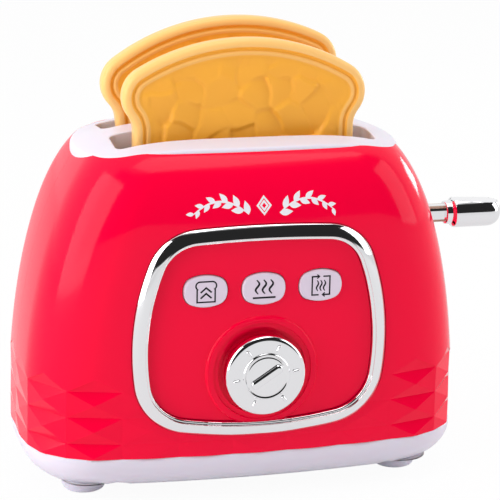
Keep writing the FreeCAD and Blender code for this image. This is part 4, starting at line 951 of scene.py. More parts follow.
@dataclass
class Shell:
    """The red body in two halves, with its band of facets.

    Attributes:
        shape: The smooth surface that the facets are cut into.
        columns: Facet corners in a quarter.
        row_pitch: Height from one row of facet corners to the next.
        band_top: Height of the top row's peaks.
        rows: Rows of facet corners below it.
        crowd: How far the columns in the middle of a quarter are drawn to the front or rear.
        steps: Mesh columns from one facet corner to the next.
        levels: Mesh rows above the band.
        wall: Wall thickness.
        crease: Width of the rounding on the facets' edges.
        shortest: Shortest side of a facet that is rounded.
        dent: How far every other facet corner lies in.
        under_trim: How far the surface reaches in under the trim.
        groove: Width of the gap round the bezel.
        opening: How far in front of and behind the front its opening is cut.
        seam: Gap between the halves.
        lever_slot: Half width, lower and upper end of the lever's slot.
        lever_slot_x: X between which the slot is cut.
        screws: X and height of the two screws of a side.
        screw_tube: Radius, bore and inner end of a screw's tube.
        tube_rim: How deep the tube's bore and its outside start under the rear.
        screw_cut: How far in front of and behind the rear a screw's hole is cut.
        round_steps: Corners round a hole.
        sharp: Angle in degrees above which an edge stays sharp.
    """

    shape: BodyShape
    columns: int = 11
    row_pitch: float = 5.7
    band_top: float = 56.2
    rows: int = 7
    crowd: float = 1.2
    steps: int = 6
    levels: int = 52
    wall: float = 2.2
    crease: float = 0.3
    shortest: float = 4.0
    dent: float = 0.6
    under_trim: float = 0.8
    groove: float = 0.3
    opening: Point2 = (12.0, -16.0)
    seam: float = 0.12
    lever_slot: Point3 = (3.2, 64.3, 110.7)
    lever_slot_x: Point2 = (62.0, 110.0)
    screws: tuple[Point2, Point2] = ((74.0, 40.0), (72.0, 120.0))
    screw_tube: Point3 = (4.0, 2.6, 4.0)
    tube_rim: Point2 = (0.5, 0.8)
    screw_cut: Point2 = (-6.0, 12.0)
    round_steps: int = 40
    sharp: float = 38.0

    def turn(self, k: float) -> float:
        """Quarter turns at facet column k."""
        whole, part = divmod(k, self.columns)
        mirrored = int(whole) % 2 == 1
        share = (self.columns - part if mirrored else part) / self.columns
        length = sum(arc.length for arc in self.shape.section(self.shape.seam_z).right()) / 2
        share -= self.crowd * sin(pi * share) / length
        return whole + (1 - share if mirrored else share)

    def row_z(self, j: float) -> float:
        """Height of facet row j, counted down from the peaks."""
        return self.band_top - j * self.row_pitch

    def surface(self, rig: Rig, material: Material) -> Piece:
        """Outer surface of the whole body: smooth above, facets below.

        Args:
            rig: The frame.
            material: Its material.

        Returns:
            The open surface.
        """
        draft = Draft()
        around = 4 * self.columns
        count = around * self.steps
        mouth = TRIM_OUTLINE.inset(self.under_trim).loop()
        shares = [sin(a) for a in quarter_turn(self.levels)]
        grid = []
        for i in range(count):
            k = i / self.steps
            turn = self.turn(k)
            low, high = self.row_z(1 - abs(k % 2 - 1)), self.shape.height_at(mouth, turn)
            grid.append(draft.ring(self.shape.point(turn, low + (high - low) * share) for share in shares))
        for a, b in zip(grid, grid[1:] + grid[:1]):
            draft.bridge(a, b, closed=False)
        known: dict[tuple[int, int], int] = {}
        nudge = 0.01

        def node(k: int, j: int) -> int:
            """Number of the facet corner in column k and row j, made when first asked for."""
            k %= around
            if j == k % 2:
                return grid[k * self.steps][0]
            if (k, j) not in known:
                turn, z = self.turn(k), self.row_z(j)
                spot = self.shape.point(turn, z)
                ahead = self.shape.point(turn + nudge, z) - spot
                out = Vector((ahead.y, -ahead.x, 0)).normalized()
                known[(k, j)] = draft.ring([spot - out * (self.dent if k % 2 else 0.0)])[0]
            return known[(k, j)]

        for k in range(around):
            draft.faces.append(tuple(grid[(k * self.steps + i) % count][0] for i in range(self.steps + 1)))
            for j in range(1 + k % 2, self.rows + 1, 2):
                left, right, top, bottom = node(k - 1, j), node(k + 1, j), node(k, j - 1), node(k, j + 1)
                if k % 2 == 0:
                    draft.faces += [(left, right, top), (left, bottom, right)]
                else:
                    draft.faces += [(left, bottom, top), (bottom, right, top)]
        return mesh_piece("body_surface", [rig.at(*c) for c in draft.corners], draft.faces, material)

    def trimmed(self, piece: Piece) -> None:
        """Rounds the facets' edges and cuts the surface level at the seam."""
        top, shortest = (self.band_top + SLACK) * MM, self.shortest * MM
        with edited(piece) as work:
            bmesh.ops.remove_doubles(work, verts=work.verts, dist=MERGE / 2)
            bmesh.ops.recalc_face_normals(work, faces=work.faces)
            edges = [e for e in work.edges if len(e.link_faces) == 2 and all(v.co.z < top for v in e.verts)
                     and any(len(f.verts) == 3 for f in e.link_faces) and e.calc_length() > shortest]
            bmesh.ops.bevel(work, geom=edges, offset=self.crease * MM, segments=2, profile=0.5,
                            affect="EDGES", clamp_overlap=True)
            bmesh.ops.bisect_plane(work, geom=work.verts[:] + work.edges[:] + work.faces[:],
                                   plane_co=(0, 0, self.shape.seam_z * MM), plane_no=(0, 0, -1),
                                   clear_outer=True)

    def rear_y(self, x: float, z: float) -> float:
        """Y of the rear surface at x and z, also round the corners."""
        loop = self.shape.section(z).loop()
        return max(a[1] + (b[1] - a[1]) * (x - a[0]) / (b[0] - a[0]) for a, b in zip(loop, loop[1:])
                   if min(a[0], b[0]) <= x < max(a[0], b[0]))

    def box(self, rig: Rig, low: Point3, high: Point3, material: Material) -> Piece:
        """Block to cut with, between its lowest and highest corner."""
        draft = Draft()
        corners = ((low[0], low[1]), (high[0], low[1]), (high[0], high[1]), (low[0], high[1]))
        draft.loft([[(x, y, z) for x, y in corners] for z in (low[2], high[2])], capped=True)
        return draft.piece(rig, "block", material)

    def drill(self, rig: Rig, whole: Piece, red: Material) -> Draft:
        """Cuts the screws' holes.

        Args:
            rig: The frame.
            whole: The body.
            red: Its material.

        Returns:
            The tubes that go behind the holes.
        """
        tube_r, bore_r, end_y = self.screw_tube
        bore_rim, outer_rim = self.tube_rim
        tubes = Draft()
        for x, z in ((side * x, z) for side in (-1, 1) for x, z in self.screws):
            wall_y = min(self.rear_y(x + dx, z + dz) for dx in (-tube_r, 0, tube_r)
                         for dz in (-tube_r, tube_r))
            rod = Draft()
            rod.loft([circle(x, wall_y + reach, z, bore_r, self.round_steps) for reach in self.screw_cut],
                     capped=True)
            cut(whole, rod.piece(rig, "rod", red))
            section = ((bore_r, wall_y - bore_rim), (tube_r, wall_y - outer_rim), (tube_r, end_y),
                       (bore_r, end_y))
            tubes.loft([circle(x, y, z, r, self.round_steps) for r, y in section], looped=True)
        return tubes

    def build(self, rig: Rig, red: Material) -> None:
        """Makes both halves."""
        whole = self.surface(rig, red)
        self.trimmed(whole)
        skin = whole.modifiers.new("wall", "SOLIDIFY")
        skin.thickness, skin.offset = self.wall * MM, -1.0
        settle(whole)
        cut(whole, self.shape.slab(rig, "opening", BEZEL_OUTLINE.inset(-self.groove), *self.opening, red))
        half_y, low, high = self.lever_slot
        inner_x, outer_x = self.lever_slot_x
        cut(whole, self.box(rig, (inner_x, -half_y, low), (outer_x, half_y, high), red))
        tubes = self.drill(rig, whole, red)
        rear = add_object("rear_body_half", whole.data.copy())
        whole.name = "front_body_half"
        reach = 2 * self.shape.half_length
        for half, way, node in ((whole, 1, "front_shell"), (rear, -1, "rear_shell")):
            low_y, high_y = sorted((-way * self.seam / 2, way * reach))
            cut(half, self.box(rig, (-reach, low_y, -reach), (reach, high_y, reach), red))
            if half is rear:
                join(half, tubes.piece(rig, "screw_tubes", red))
            place(soften(half, self.sharp), "root", Slot.RED, node)


# Trim


@dataclass
class TopTrim:
    """Pale plate round the two bread slots.

    Attributes:
        shape: The body that it sits on.
        top_z: Height of its middle.
        end_drop: How far it falls to the ends.
        side_drop: How fast it falls to the front and rear.
        sheet: Its thickness.
        edge: Rounding of the outer edge.
        slot: Half length, half width and corner radius of a slot.
        slot_y: Distance of a slot's middle from the centre line.
        slot_edge: Rounding of a slot's edge.
        chute: Wall and lower end of the chutes.
        spacing: Mesh size on the top face.
        steps: Corners on the arcs of its outline.
        under: Inset of its underside.
        foot: Heights between which its outer foot meets the body.
        foot_sink: How far the foot reaches under the body's surface.
    """

    shape: BodyShape
    top_z: float = 151.7
    end_drop: float = 8.7
    side_drop: float = 0.003
    sheet: float = 3.2
    edge: float = 1.5
    slot: Point3 = (55.4, 9.4, 3.5)
    slot_y: float = 15.9
    slot_edge: float = 0.7
    chute: Point2 = (1.2, 126.0)
    spacing: float = 3.0
    steps: tuple[int, ...] = (22, 12, 16, 12, 22)
    under: float = 2.8
    foot: Point2 = (130.0, 147.0)
    foot_sink: float = 0.25

    def dome(self, x: float, y: float) -> float:
        """Height of the top face."""
        return self.top_z - self.end_drop * (x / TRIM_OUTLINE.half) ** 4 - self.side_drop * y * y

    def slot_loop(self, way: int, grow: float, corner_steps: int = 6) -> list[Point2]:
        """Points round one slot, grown by an amount; its long sides are cut up to follow the dome."""
        half_x, half_y, corner = self.slot
        r = corner + grow
        points: list[Point2] = []
        centres = [(half_x - corner, half_y - corner), (corner - half_x, half_y - corner),
                   (corner - half_x, corner - half_y), (half_x - corner, corner - half_y)]
        for quarter, (cx, cy) in enumerate(centres):
            for i in range(corner_steps + 1):
                angle = pi / 2 * (quarter + i / corner_steps)
                points.append((cx + r * cos(angle), way * self.slot_y + cy + r * sin(angle)))
            nx, ny = centres[(quarter + 1) % 4]
            gap = math.dist((cx, cy), (nx, ny))
            cuts = max(1, round(gap / self.spacing))
            ox, oy = points[-1]
            for i in range(1, cuts):
                points.append((ox + (nx - cx) * i / cuts, oy + (ny - cy) * i / cuts))
        return points

    def face(self, draft: Draft, outer: Sequence[Point2], holes: Sequence[Sequence[Point2]],
             drop: float) -> None:
        """Domed face inside an outline and round the holes.

        Args:
            draft: Where its corners go.
            outer: Outline.
            holes: Outlines of the holes.
            drop: How far it lies under the top face.
        """
        loops = [outer, *holes]
        nx, ny = int(TRIM_OUTLINE.half / self.spacing), int(TRIM_OUTLINE.high / self.spacing)
        grid = []
        for i in range(-nx, nx + 1):
            for j in range(-ny, ny + 1):
                p = (i * self.spacing, j * self.spacing)
                near = min(math.dist(p, q) for loop in loops for q in loop)
                if near > self.spacing / 2 and inside(outer, p) and not any(inside(h, p) for h in holes):
                    grid.append(p)
        corners, triangles = triangulated(loops, grid)
        ring = draft.ring((p.x, p.y, self.dome(p.x, p.y) - drop) for p in corners)
        for triangle in triangles:
            middle = sum((corners[i] for i in triangle), Vector((0, 0))) / 3
            if not any(inside(hole, middle) for hole in holes):
                draft.faces.append(tuple(ring[i] for i in triangle))

    def lower(self, loop: Iterable[Point2], drop: float) -> list[Point3]:
        """Points of a loop, each as far under the top face."""
        return [(x, y, self.dome(x, y) - drop) for x, y in loop]

    def build(self, rig: Rig, pale: Material) -> None:
        """Makes the trim with its chutes."""
        draft = Draft()
        rings = [self.lower(TRIM_OUTLINE.inset(w).loop(self.steps), drop)
                 for w, drop in quarter_round(self.edge)]
        foot = []
        for x, y in TRIM_OUTLINE.loop(self.steps):
            z = crossing(*self.foot, lambda z: not inside(self.shape.section(z).loop(), (x, y)), halvings=16)
            foot.append((x, y, z - self.foot_sink))
        underside = TRIM_OUTLINE.inset(self.under).loop(self.steps)
        draft.loft([*rings, foot, self.lower(underside, self.sheet)])
        wall, bottom = self.chute
        for way in (-1, 1):
            edge = [self.lower(self.slot_loop(way, w), drop) for w, drop in quarter_round(self.slot_edge)]
            edge += [[(x, y, bottom) for x, y in self.slot_loop(way, grow)] for grow in (0.0, wall)]
            draft.loft([*edge, self.lower(self.slot_loop(way, wall), self.sheet)])
        self.face(draft, TRIM_OUTLINE.inset(self.edge).loop(self.steps),
                  [self.slot_loop(way, self.slot_edge) for way in (-1, 1)], 0.0)
        self.face(draft, underside, [self.slot_loop(way, wall) for way in (-1, 1)], self.sheet)
        place(soften(draft.piece(rig, "top_trim_plate", pale), 50.0), "root", Slot.PALE, "top_trim")


# Bezel


@dataclass
class Bezel:
    """Chrome ring round the panel.

    Attributes:
        shape: The body whose front it follows.
        width: Width of the ring.
        proud: How far it stands out.
        back: How deep it reaches in.
        lip: Width and drop of the step along the inner edge.
        slope: Tilt of the domed face at its outer and inner edge, in degrees.
        foot: How far its outer side stands out of the body.
        crest: Distance from the step and drop of the points on its rounded edge.
        ledge: The same for the points on the lip.
        inner_edge: Rounding of the inner edge.
        steps: Corners on the arcs of its outline.
    """

    shape: BodyShape
    width: float = 6.3
    proud: float = 2.8
    back: float = 2.2
    lip: Point2 = (1.2, 0.9)
    slope: Point2 = (50.0, 8.0)
    foot: float = 0.15
    crest: tuple[Point2, ...] = ((0.2, 0.0), (0.12, 0.03), (0.02, 0.25))
    ledge: tuple[Point2, ...] = ((0.2, 0.12), (0.5, 0.1))
    inner_edge: float = 0.7
    steps: tuple[int, ...] = (30, 20, 26, 20, 30)

    def profile(self) -> list[Point2]:
        """Inset and height of the ring's section, from its outer foot over the top to its inner foot."""
        lip, drop = self.lip
        edge, low, count = self.width - lip, self.proud - drop, 14
        steep, flat = (radians(tilt) for tilt in self.slope)
        rises = [math.log(cos(steep + (flat - steep) * i / count) / cos(steep))
                 for i in range(count + 1)]
        points = [(0.0, -self.back), (0.0, self.foot)]
        points += [(edge * i / count, self.foot + (self.proud - self.foot) * rises[i] / rises[-1])
                   for i in range(1, count)]
        points += [(edge - w, self.proud - fall) for w, fall in self.crest]
        points += [(edge, low)] + [(edge + w, low - fall) for w, fall in self.ledge]
        floor = low - self.ledge[-1][1]
        points += [(self.width - w, floor - fall) for w, fall in quarter_round(self.inner_edge, 4)]
        return points + [(self.width, -self.back)]

    def build(self, rig: Rig, chrome: Material) -> None:
        """Makes the ring."""
        draft = Draft()
        draft.loft([[(u, self.shape.bow_y(u, height), v) for u, v in BEZEL_OUTLINE.inset(w).loop(self.steps)]
                    for w, height in self.profile()], looped=True)
        place(draft.piece(rig, "chrome_bezel", chrome, 50.0), "root", Slot.CHROME, "bezel_ring")


# Knob


def ring_of(name: str) -> bpy.types.NodeTree:
    """Geometry Nodes tree that repeats its mesh in a ring about the Y axis."""
    tree = group_tree(name, "GeometryNodeTree",
                      [("Mark", "Geometry", None), ("Count", "Int", 6),
                       ("Radius", "Float", 0.01), ("Start", "Float", 0.0),
                       ("Centre", "Vector", (0, 0, 0)), ("Finish", "Material", None)],
                      [("Ring", "Geometry")])
    g = Graph(tree)
    given = g.add("NodeGroupInput")
    number = g.add("GeometryNodeInputIndex").outputs[0]
    step = g.maths("DIVIDE", 2 * pi, given.outputs["Count"])
    angle = g.maths("ADD", g.maths("MULTIPLY", number, step), given.outputs["Start"])
    x = g.maths("MULTIPLY", g.maths("COSINE", angle), given.outputs["Radius"])
    z = g.maths("MULTIPLY", g.maths("SINE", angle), given.outputs["Radius"])
    spot = g.add("ShaderNodeCombineXYZ", {"X": x, "Z": z})
    moved = g.add("ShaderNodeVectorMath", {0: spot.outputs[0], 1: given.outputs["Centre"]}, operation="ADD")
    points = g.add("GeometryNodePoints", {"Count": given.outputs["Count"], "Position": moved.outputs[0]})
    back = g.maths("MULTIPLY", angle, -1.0)
    turned = g.add("ShaderNodeCombineXYZ", {"Y": back})
    copies = g.add("GeometryNodeInstanceOnPoints", {
        "Points": points.outputs[0], "Instance": given.outputs["Mark"], "Rotation": turned.outputs[0]})
    g.put_out("Ring", copies, given.outputs["Finish"])
    return tree


def run_tree(piece: Piece, tree: bpy.types.NodeTree, values: dict[str, object]) -> None:
    """Runs a Geometry Nodes tree on a piece and keeps its result as a plain mesh.

    Args:
        piece: The piece whose mesh goes in.
        tree: The tree.
        values: Inputs by name.
    """
    step = piece.modifiers.new(tree.name, "NODES")
    step.node_group = tree
    for socket in tree.interface.items_tree:
        if socket.item_type == "SOCKET" and socket.in_out == "INPUT" and socket.name in values:
            step[socket.identifier] = values[socket.name]
    settle(piece)


@dataclass
class Knob:
    """Chrome timer knob.

    Attributes:
        z: Height of its axis.
        face_y: Y of its face.
        radius: Its radius.
        skirt_y: Y of its rear edge.
        bevel: Width and depth of the bevel.
        disc: Radius and height of the raised disc.
        bar: Length, width and height of the finger bar.
        bar_tilt: Tilt of the bar in degrees.
        mark_ring: Number of marks, their radius and their turn in degrees.
        mark: Length, width and height of a mark.
        disc_edge: Distance from the disc's rim and drop of the points of its groove and rounded edge.
        disc_foot: How far past the disc's rim its edge ends.
        wall: Thickness of the knob's wall.
        hollow: How deep under the face the inside reaches.
        hub: Radius of the hub, radius of its bore and depth of the bore's end under the face.
    """

    z: float = 57.2
    face_y: float = -60.5
    radius: float = 17.0
    skirt_y: float = -51.6
    bevel: Point2 = (2.2, 1.8)
    disc: Point2 = (9.7, 0.7)
    bar: Point3 = (15.2, 4.0, 1.3)
    bar_tilt: float = 33.0
    mark_ring: tuple[int, float, float] = (6, 12.6, 7.0)
    mark: Point3 = (3.1, 1.6, 0.85)
    disc_edge: tuple[Point2, ...] = ((1.9, 0.04), (1.55, 0.3), (1.2, 0.46), (0.85, 0.3), (0.55, 0.04),
                                     (0.3, 0.0), (0.05, 0.12), (-0.2, 0.45))
    disc_foot: float = 0.42
    wall: float = 2.0
    hollow: float = 4.0
    hub: Point3 = (4.5, 2.5, 3.0)

    def body(self, rig: Rig, chrome: Material) -> Piece:
        """Knob with its bevel and raised disc, turned round its axis."""
        width, depth = self.bevel
        disc_r, disc_h = self.disc
        back, inner = self.face_y - self.skirt_y, self.radius - self.wall
        hub_r, bore_r, bore_end = self.hub
        profile = [(POLE, disc_h - POLE)] + [(disc_r - w, disc_h - fall) for w, fall in self.disc_edge]
        profile += [(disc_r + self.disc_foot, 0.0), (self.radius - width - 0.2, 0.0)]
        profile += [(self.radius - width * (1 - sin(a)), -depth * (1 - cos(a)))
                    for a in quarter_turn(8, first=1)]
        profile += [(self.radius, -depth - 0.5), (self.radius, back + 0.6), (self.radius - 0.25, back),
                    (inner, back), (inner, -self.hollow), (hub_r, -self.hollow), (hub_r, back),
                    (bore_r, back), (bore_r, -bore_end), (POLE, -bore_end)]
        draft = Draft()
        draft.loft([circle(0, self.face_y - h, self.z, r, 128) for r, h in profile], capped=True)
        return soften(draft.piece(rig, "knob_body", chrome, 60.0), 60.0)

    def rounded_bar(self, rig: Rig, name: str, size: Point3, sink: float, slope: float,
                    chrome: Material, centre: Point3) -> Piece:
        """Bar with round ends and a rounded top, lying along X, raised towards the front.

        Args:
            rig: The frame.
            name: Name of the object.
            size: Its length, width and height.
            sink: How far it reaches in behind its foot.
            slope: Share of its half width that the rounding takes.
            chrome: Its material.
            centre: Middle of its foot.

        Returns:
            The object.
        """
        length, width, height = size
        half, r = length / 2, width / 2
        mid_x, foot_y, mid_z = centre
        sections = [(0.0, -sink), (0.0, 0.0)]
        sections += [(r * slope * (1 - cos(a)), height * sin(a)) for a in quarter_turn(8, first=1)]
        draft = Draft()
        draft.loft([[(mid_x + (1 if cos(a) >= 0 else -1) * (half - r) + (r - w) * cos(a),
                      foot_y - h, mid_z + (r - w) * sin(a)) for a in full_turn(28)]
                    for w, h in sections], capped=True)
        return soften(draft.piece(rig, name, chrome, 75.0), 75.0)

    def build(self, rig: Rig, chrome: Material) -> None:
        """Makes the knob, its bar and its marks."""
        knob = self.body(rig, chrome)
        centre = (0, self.face_y, self.z)
        bar = self.rounded_bar(rig, "knob_bar", self.bar, 0.5, 0.72, chrome, centre)
        axis = rig.at(0, self.face_y - self.disc[1], self.z)
        bar.data.transform(Matrix.Translation(axis) @ Matrix.Rotation(-radians(self.bar_tilt), 4, "Y")
                           @ Matrix.Translation(-rig.at(*centre)))
        count, radius, start = self.mark_ring
        marks = self.rounded_bar(rig, "knob_marks", self.mark, 0.3, 0.8, chrome, (0, 0, 0))
        to_origin(rig, marks)
        run_tree(marks, ring_of("marks round the knob"),
                 {"Count": count, "Radius": radius * MM, "Start": radians(start),
                  "Centre": tuple(rig.at(*centre)), "Finish": chrome})
        for piece in (knob, bar, marks):
            place(piece, "timer", Slot.CHROME, "timer_knob")


# Buttons


class Sign(Enum):
    """What a push button shows."""

    SLICE = -1
    STEAM = 0
    THAW = 1


@dataclass
class Buttons:
    """Three push buttons with their signs.

    Attributes:
        shape: The body whose front they follow.
        pitch: Distance from one to the next.
        z: Height of their middle.
        half: Half width and half height.
        proud: How far they stand out of the panel.
        sink: How far the panel's face lies behind the body's.
        edge: Rounding of the rim.
        stroke: Width of the sign's lines.
        film: Height of the print.
        stem: Radius of the stem behind.
        bow: Radius of the long sides, the ends and the corners.
        flange: Distance behind the panel's face, width and thickness of the flange.
        stem_start: How far inside the flange the stem starts.
    """

    shape: BodyShape
    pitch: float = 24.2
    z: float = 92.6
    half: Point2 = (9.1, 6.7)
    proud: float = 1.3
    sink: float = 0.2
    edge: float = 0.75
    stroke: float = 0.62
    film: float = 0.03
    stem: float = 1.6
    bow: Point3 = (16.0, 8.0, 4.6)
    flange: Point3 = (3.0, 1.4, 1.2)
    stem_start: float = 0.6

    def face_y(self, i: int) -> float:
        """Y of a button's face."""
        return self.shape.bow_y(i * self.pitch, -self.sink) - self.proud

    def cap(self, rig: Rig, i: int, pale: Material) -> Piece:
        """Button with a rounded rim and its flange behind the panel."""
        draft = Draft()
        side_r, end_r, corner = self.bow
        outline = oval(*self.half, corner, side_r, end_r)
        x, y = i * self.pitch, self.face_y(i)
        behind, wide, thick = self.flange
        flange_y = y + self.proud + behind
        sections = [(w, y + drop) for w, drop in quarter_round(self.edge)]
        sections += [(0.0, flange_y), (-wide, flange_y), (-wide, flange_y + thick)]
        draft.loft([[(x + u, depth, self.z + v) for u, v in outline.inset(w).loop((8, 6, 6, 6, 8))]
                    for w, depth in sections], capped=True)
        stem_end = rig.box("button_centre")[1].y + y - self.face_y(0)
        draft.loft([circle(x, depth, self.z, self.stem, 24)
                    for depth in (flange_y + self.stem_start, stem_end)], capped=True)
        return soften(draft.piece(rig, f"push_button_{Sign(i).name.lower()}", pale, 50.0), 50.0)

    def line(self, draft: Draft, points: Sequence[Point2], i: int, width: float | None = None,
             closed: bool = False, taper: bool = False) -> None:
        """Draws one printed line on a button.

        Args:
            draft: Where it goes.
            points: Its course, from the button's middle.
            i: The button: -1, 0 or 1.
            width: Its width, or None for the usual stroke.
            closed: Whether it ends where it starts.
            taper: Whether its ends run thin.
        """
        x, y = i * self.pitch, self.face_y(i)
        draft.ribbon(points, width or self.stroke, lambda u, v, way: (x + u, y + way * self.film, self.z + v),
                     closed, taper)

    def steam(self, draft: Draft, i: int, centre: Point2, height: float, pitch: float, swing: float,
              width: float) -> None:
        """Three rising waves.

        Args:
            draft: Where they go.
            i: The button: -1, 0 or 1.
            centre: Middle of the three.
            height: Their height.
            pitch: Distance from one to the next.
            swing: How far they swing to each side.
            width: Width of the line.
        """
        waves, steps = 1.15, 24
        for k in (-1, 0, 1):
            shares = [n / steps - 0.5 for n in range(steps + 1)]
            self.line(draft, [(centre[0] + k * pitch + swing * sin(2 * pi * waves * t),
                               centre[1] + t * height) for t in shares], i, width, taper=True)

    def sign(self, rig: Rig, kind: Sign, ink: Material) -> Piece:
        """Printed sign of a button."""
        draft = Draft()
        i = kind.value
        if kind is Sign.SLICE:
            half, foot, neck, lobe_r = 4.1, -4.3, 1.4, 1.75
            lobe = [(half * 0.62 + lobe_r * cos(a), neck + 1.15 + lobe_r * sin(a))
                    for a in (radians(d) for d in range(-50, 100, 15))]
            right = [(half - 0.35, foot), (half - 0.35, neck - 0.2)] + lobe
            self.line(draft, right + [(-u, v) for u, v in reversed(right)], i, closed=True)
            for v in (-2.6, -0.2):
                self.line(draft, [(-2.3, v - 0.1), (0.0, v + 1.9), (2.3, v - 0.1)], i, self.stroke * 1.15)
        elif kind is Sign.STEAM:
            self.steam(draft, i, (0.0, 1.0), 6.0, 2.9, 0.75, self.stroke * 1.45)
            self.line(draft, [(-4.8, -3.6), (4.8, -3.6)], i, self.stroke * 1.25)
        else:
            self.steam(draft, i, (0.0, 0.0), 4.6, 1.5, 0.4, self.stroke * 1.1)
            half, tall, gap = 3.75, 3.9, 0.9
            for way in (-1, 1):
                self.line(draft, [(way * gap, way * tall), (way * half, way * tall),
                                  (way * half, -way * tall), (way * 1.6, -way * tall)], i)
                tip = way * (gap - 1.9)
                self.line(draft, [(way * -half, way * tall), (tip, way * tall)], i)
                self.line(draft, [(tip - way * 0.7, way * tall + 0.85), (tip + way * 0.3, way * tall),
                                  (tip - way * 0.7, way * tall - 0.85)], i, self.stroke * 0.8)
        return draft.piece(rig, f"sign_{kind.name.lower()}", ink)

    def build(self, rig: Rig, pale: Material, ink: Material) -> None:
        """Makes the three buttons."""
        for kind, name in ((Sign.SLICE, "left"), (Sign.STEAM, "centre"), (Sign.THAW, "right")):
            place(self.cap(rig, kind.value, pale), f"{name}_button", Slot.BUTTON, f"button_{name}")
            place(self.sign(rig, kind, ink), f"{name}_button", Slot.BUTTON)


# Lever


@dataclass
class Lever:
    """Chrome finger piece on the carriage's arm.

    Attributes:
        z: Height of its axis.
        start_x: X of its inner end.
        end_x: X of its nose.
        radius: Radius of the body.
        neck: Radius and length of the neck.
        facet_tilt: Tilt of the flat facet in degrees.
        bluntness: Power that squares the nose; 1 is a ball.
        sleeve_reach: X of the two ends of the sleeve on the arm.
        sleeve_half: Half width and half height of the sleeve.
        neck_edge: Distance from the inner end and change of radius at the neck's rounded edge.
        shoulder: Distance from the neck's end and change of radius where the body starts.
        facet_start: Distance from the neck at which the facet has its depth.
        facet_depth: That depth.
        facet_edge: Rounding round the facet.
    """

    z: float = 106.5
    start_x: float = 96.0
    end_x: float = 122.0
    radius: float = 6.8
    neck: Point2 = (5.2, 3.0)
    facet_tilt: float = 4.0
    bluntness: float = 0.86
    sleeve_reach: Point2 = (76.0, 96.3)
    sleeve_half: Point2 = (2.98, 3.95)
    neck_edge: tuple[Point2, ...] = ((0.0, -0.7), (0.2, -0.2), (0.7, 0.0))
    shoulder: tuple[Point2, ...] = ((0.5, -0.55), (1.0, -0.15), (1.5, 0.0))
    facet_start: float = 4.0
    facet_depth: float = 0.9
    facet_edge: float = 0.55

    def profile(self) -> list[Point2]:
        """X and radius along the axis, from the inner end to the nose."""
        neck_r, neck_l = self.neck
        x0, x1 = self.start_x, self.start_x + neck_l
        nose = self.end_x - self.radius
        points = [(x0 + dx, neck_r + dr) for dx, dr in self.neck_edge]
        points += [(x1 - 0.5, neck_r), (x1, neck_r + 0.2)]
        points += [(x1 + dx, self.radius + dr) for dx, dr in self.shoulder]
        full = points[-1][0]
        points += [(full + (nose - full) * t, self.radius) for t in (0.25, 0.5, 0.75)]
        points += [(nose + self.radius * sin(a) ** self.bluntness,
                    self.radius * cos(a) ** self.bluntness) for a in quarter_turn(14)]
        return points[:-1] + [(self.end_x, POLE)]

    def build(self, rig: Rig, chrome: Material) -> None:
        """Makes the finger piece with its facet, and the sleeve."""
        draft = Draft()
        draft.loft([[(x, r * cos(a), self.z + r * sin(a)) for a in full_turn(64)]
                    for x, r in self.profile()], capped=True)
        piece = draft.piece(rig, "lever_finger_piece", chrome, 60.0)
        tilt = radians(self.facet_tilt)
        corner = rig.at(self.start_x + self.neck[1] + self.facet_start, 0,
                        self.z + self.radius - self.facet_depth)
        with edited(piece) as work:
            sliced = bmesh.ops.bisect_plane(work, geom=work.verts[:] + work.edges[:] + work.faces[:],
                                            plane_co=corner, plane_no=(sin(tilt), 0, cos(tilt)),
                                            clear_outer=True)
            rim = [e for e in sliced["geom_cut"] if isinstance(e, bmesh.types.BMEdge)]
            bmesh.ops.holes_fill(work, edges=rim)
            bmesh.ops.bevel(work, geom=rim, offset=self.facet_edge * MM, segments=3, profile=0.6,
                            affect="EDGES")
        place(soften(piece, 60.0), "carriage", Slot.CHROME, "lever_cap")
        place(self.sleeve(rig, chrome), "carriage", Slot.CHROME)

    def sleeve(self, rig: Rig, chrome: Material) -> Piece:
        """Plated sleeve round the arm, from inside the slot to the finger piece."""
        draft = Draft()
        low, high = self.sleeve_reach
        half_y, half_z = self.sleeve_half
        r = half_y - 0.05
        draft.loft([[(x, (r - w) * cos(a),
                      self.z + (half_z - r) * (1 if sin(a) > 0 else -1) + (r - w) * sin(a))
                     for a in full_turn(40)] for x, w in ((low, 0.4), (low + 0.3, 0.0), (high, 0.0))],
                   capped=True)
        return soften(draft.piece(rig, "lever_sleeve", chrome, 60.0), 60.0)


# Bread


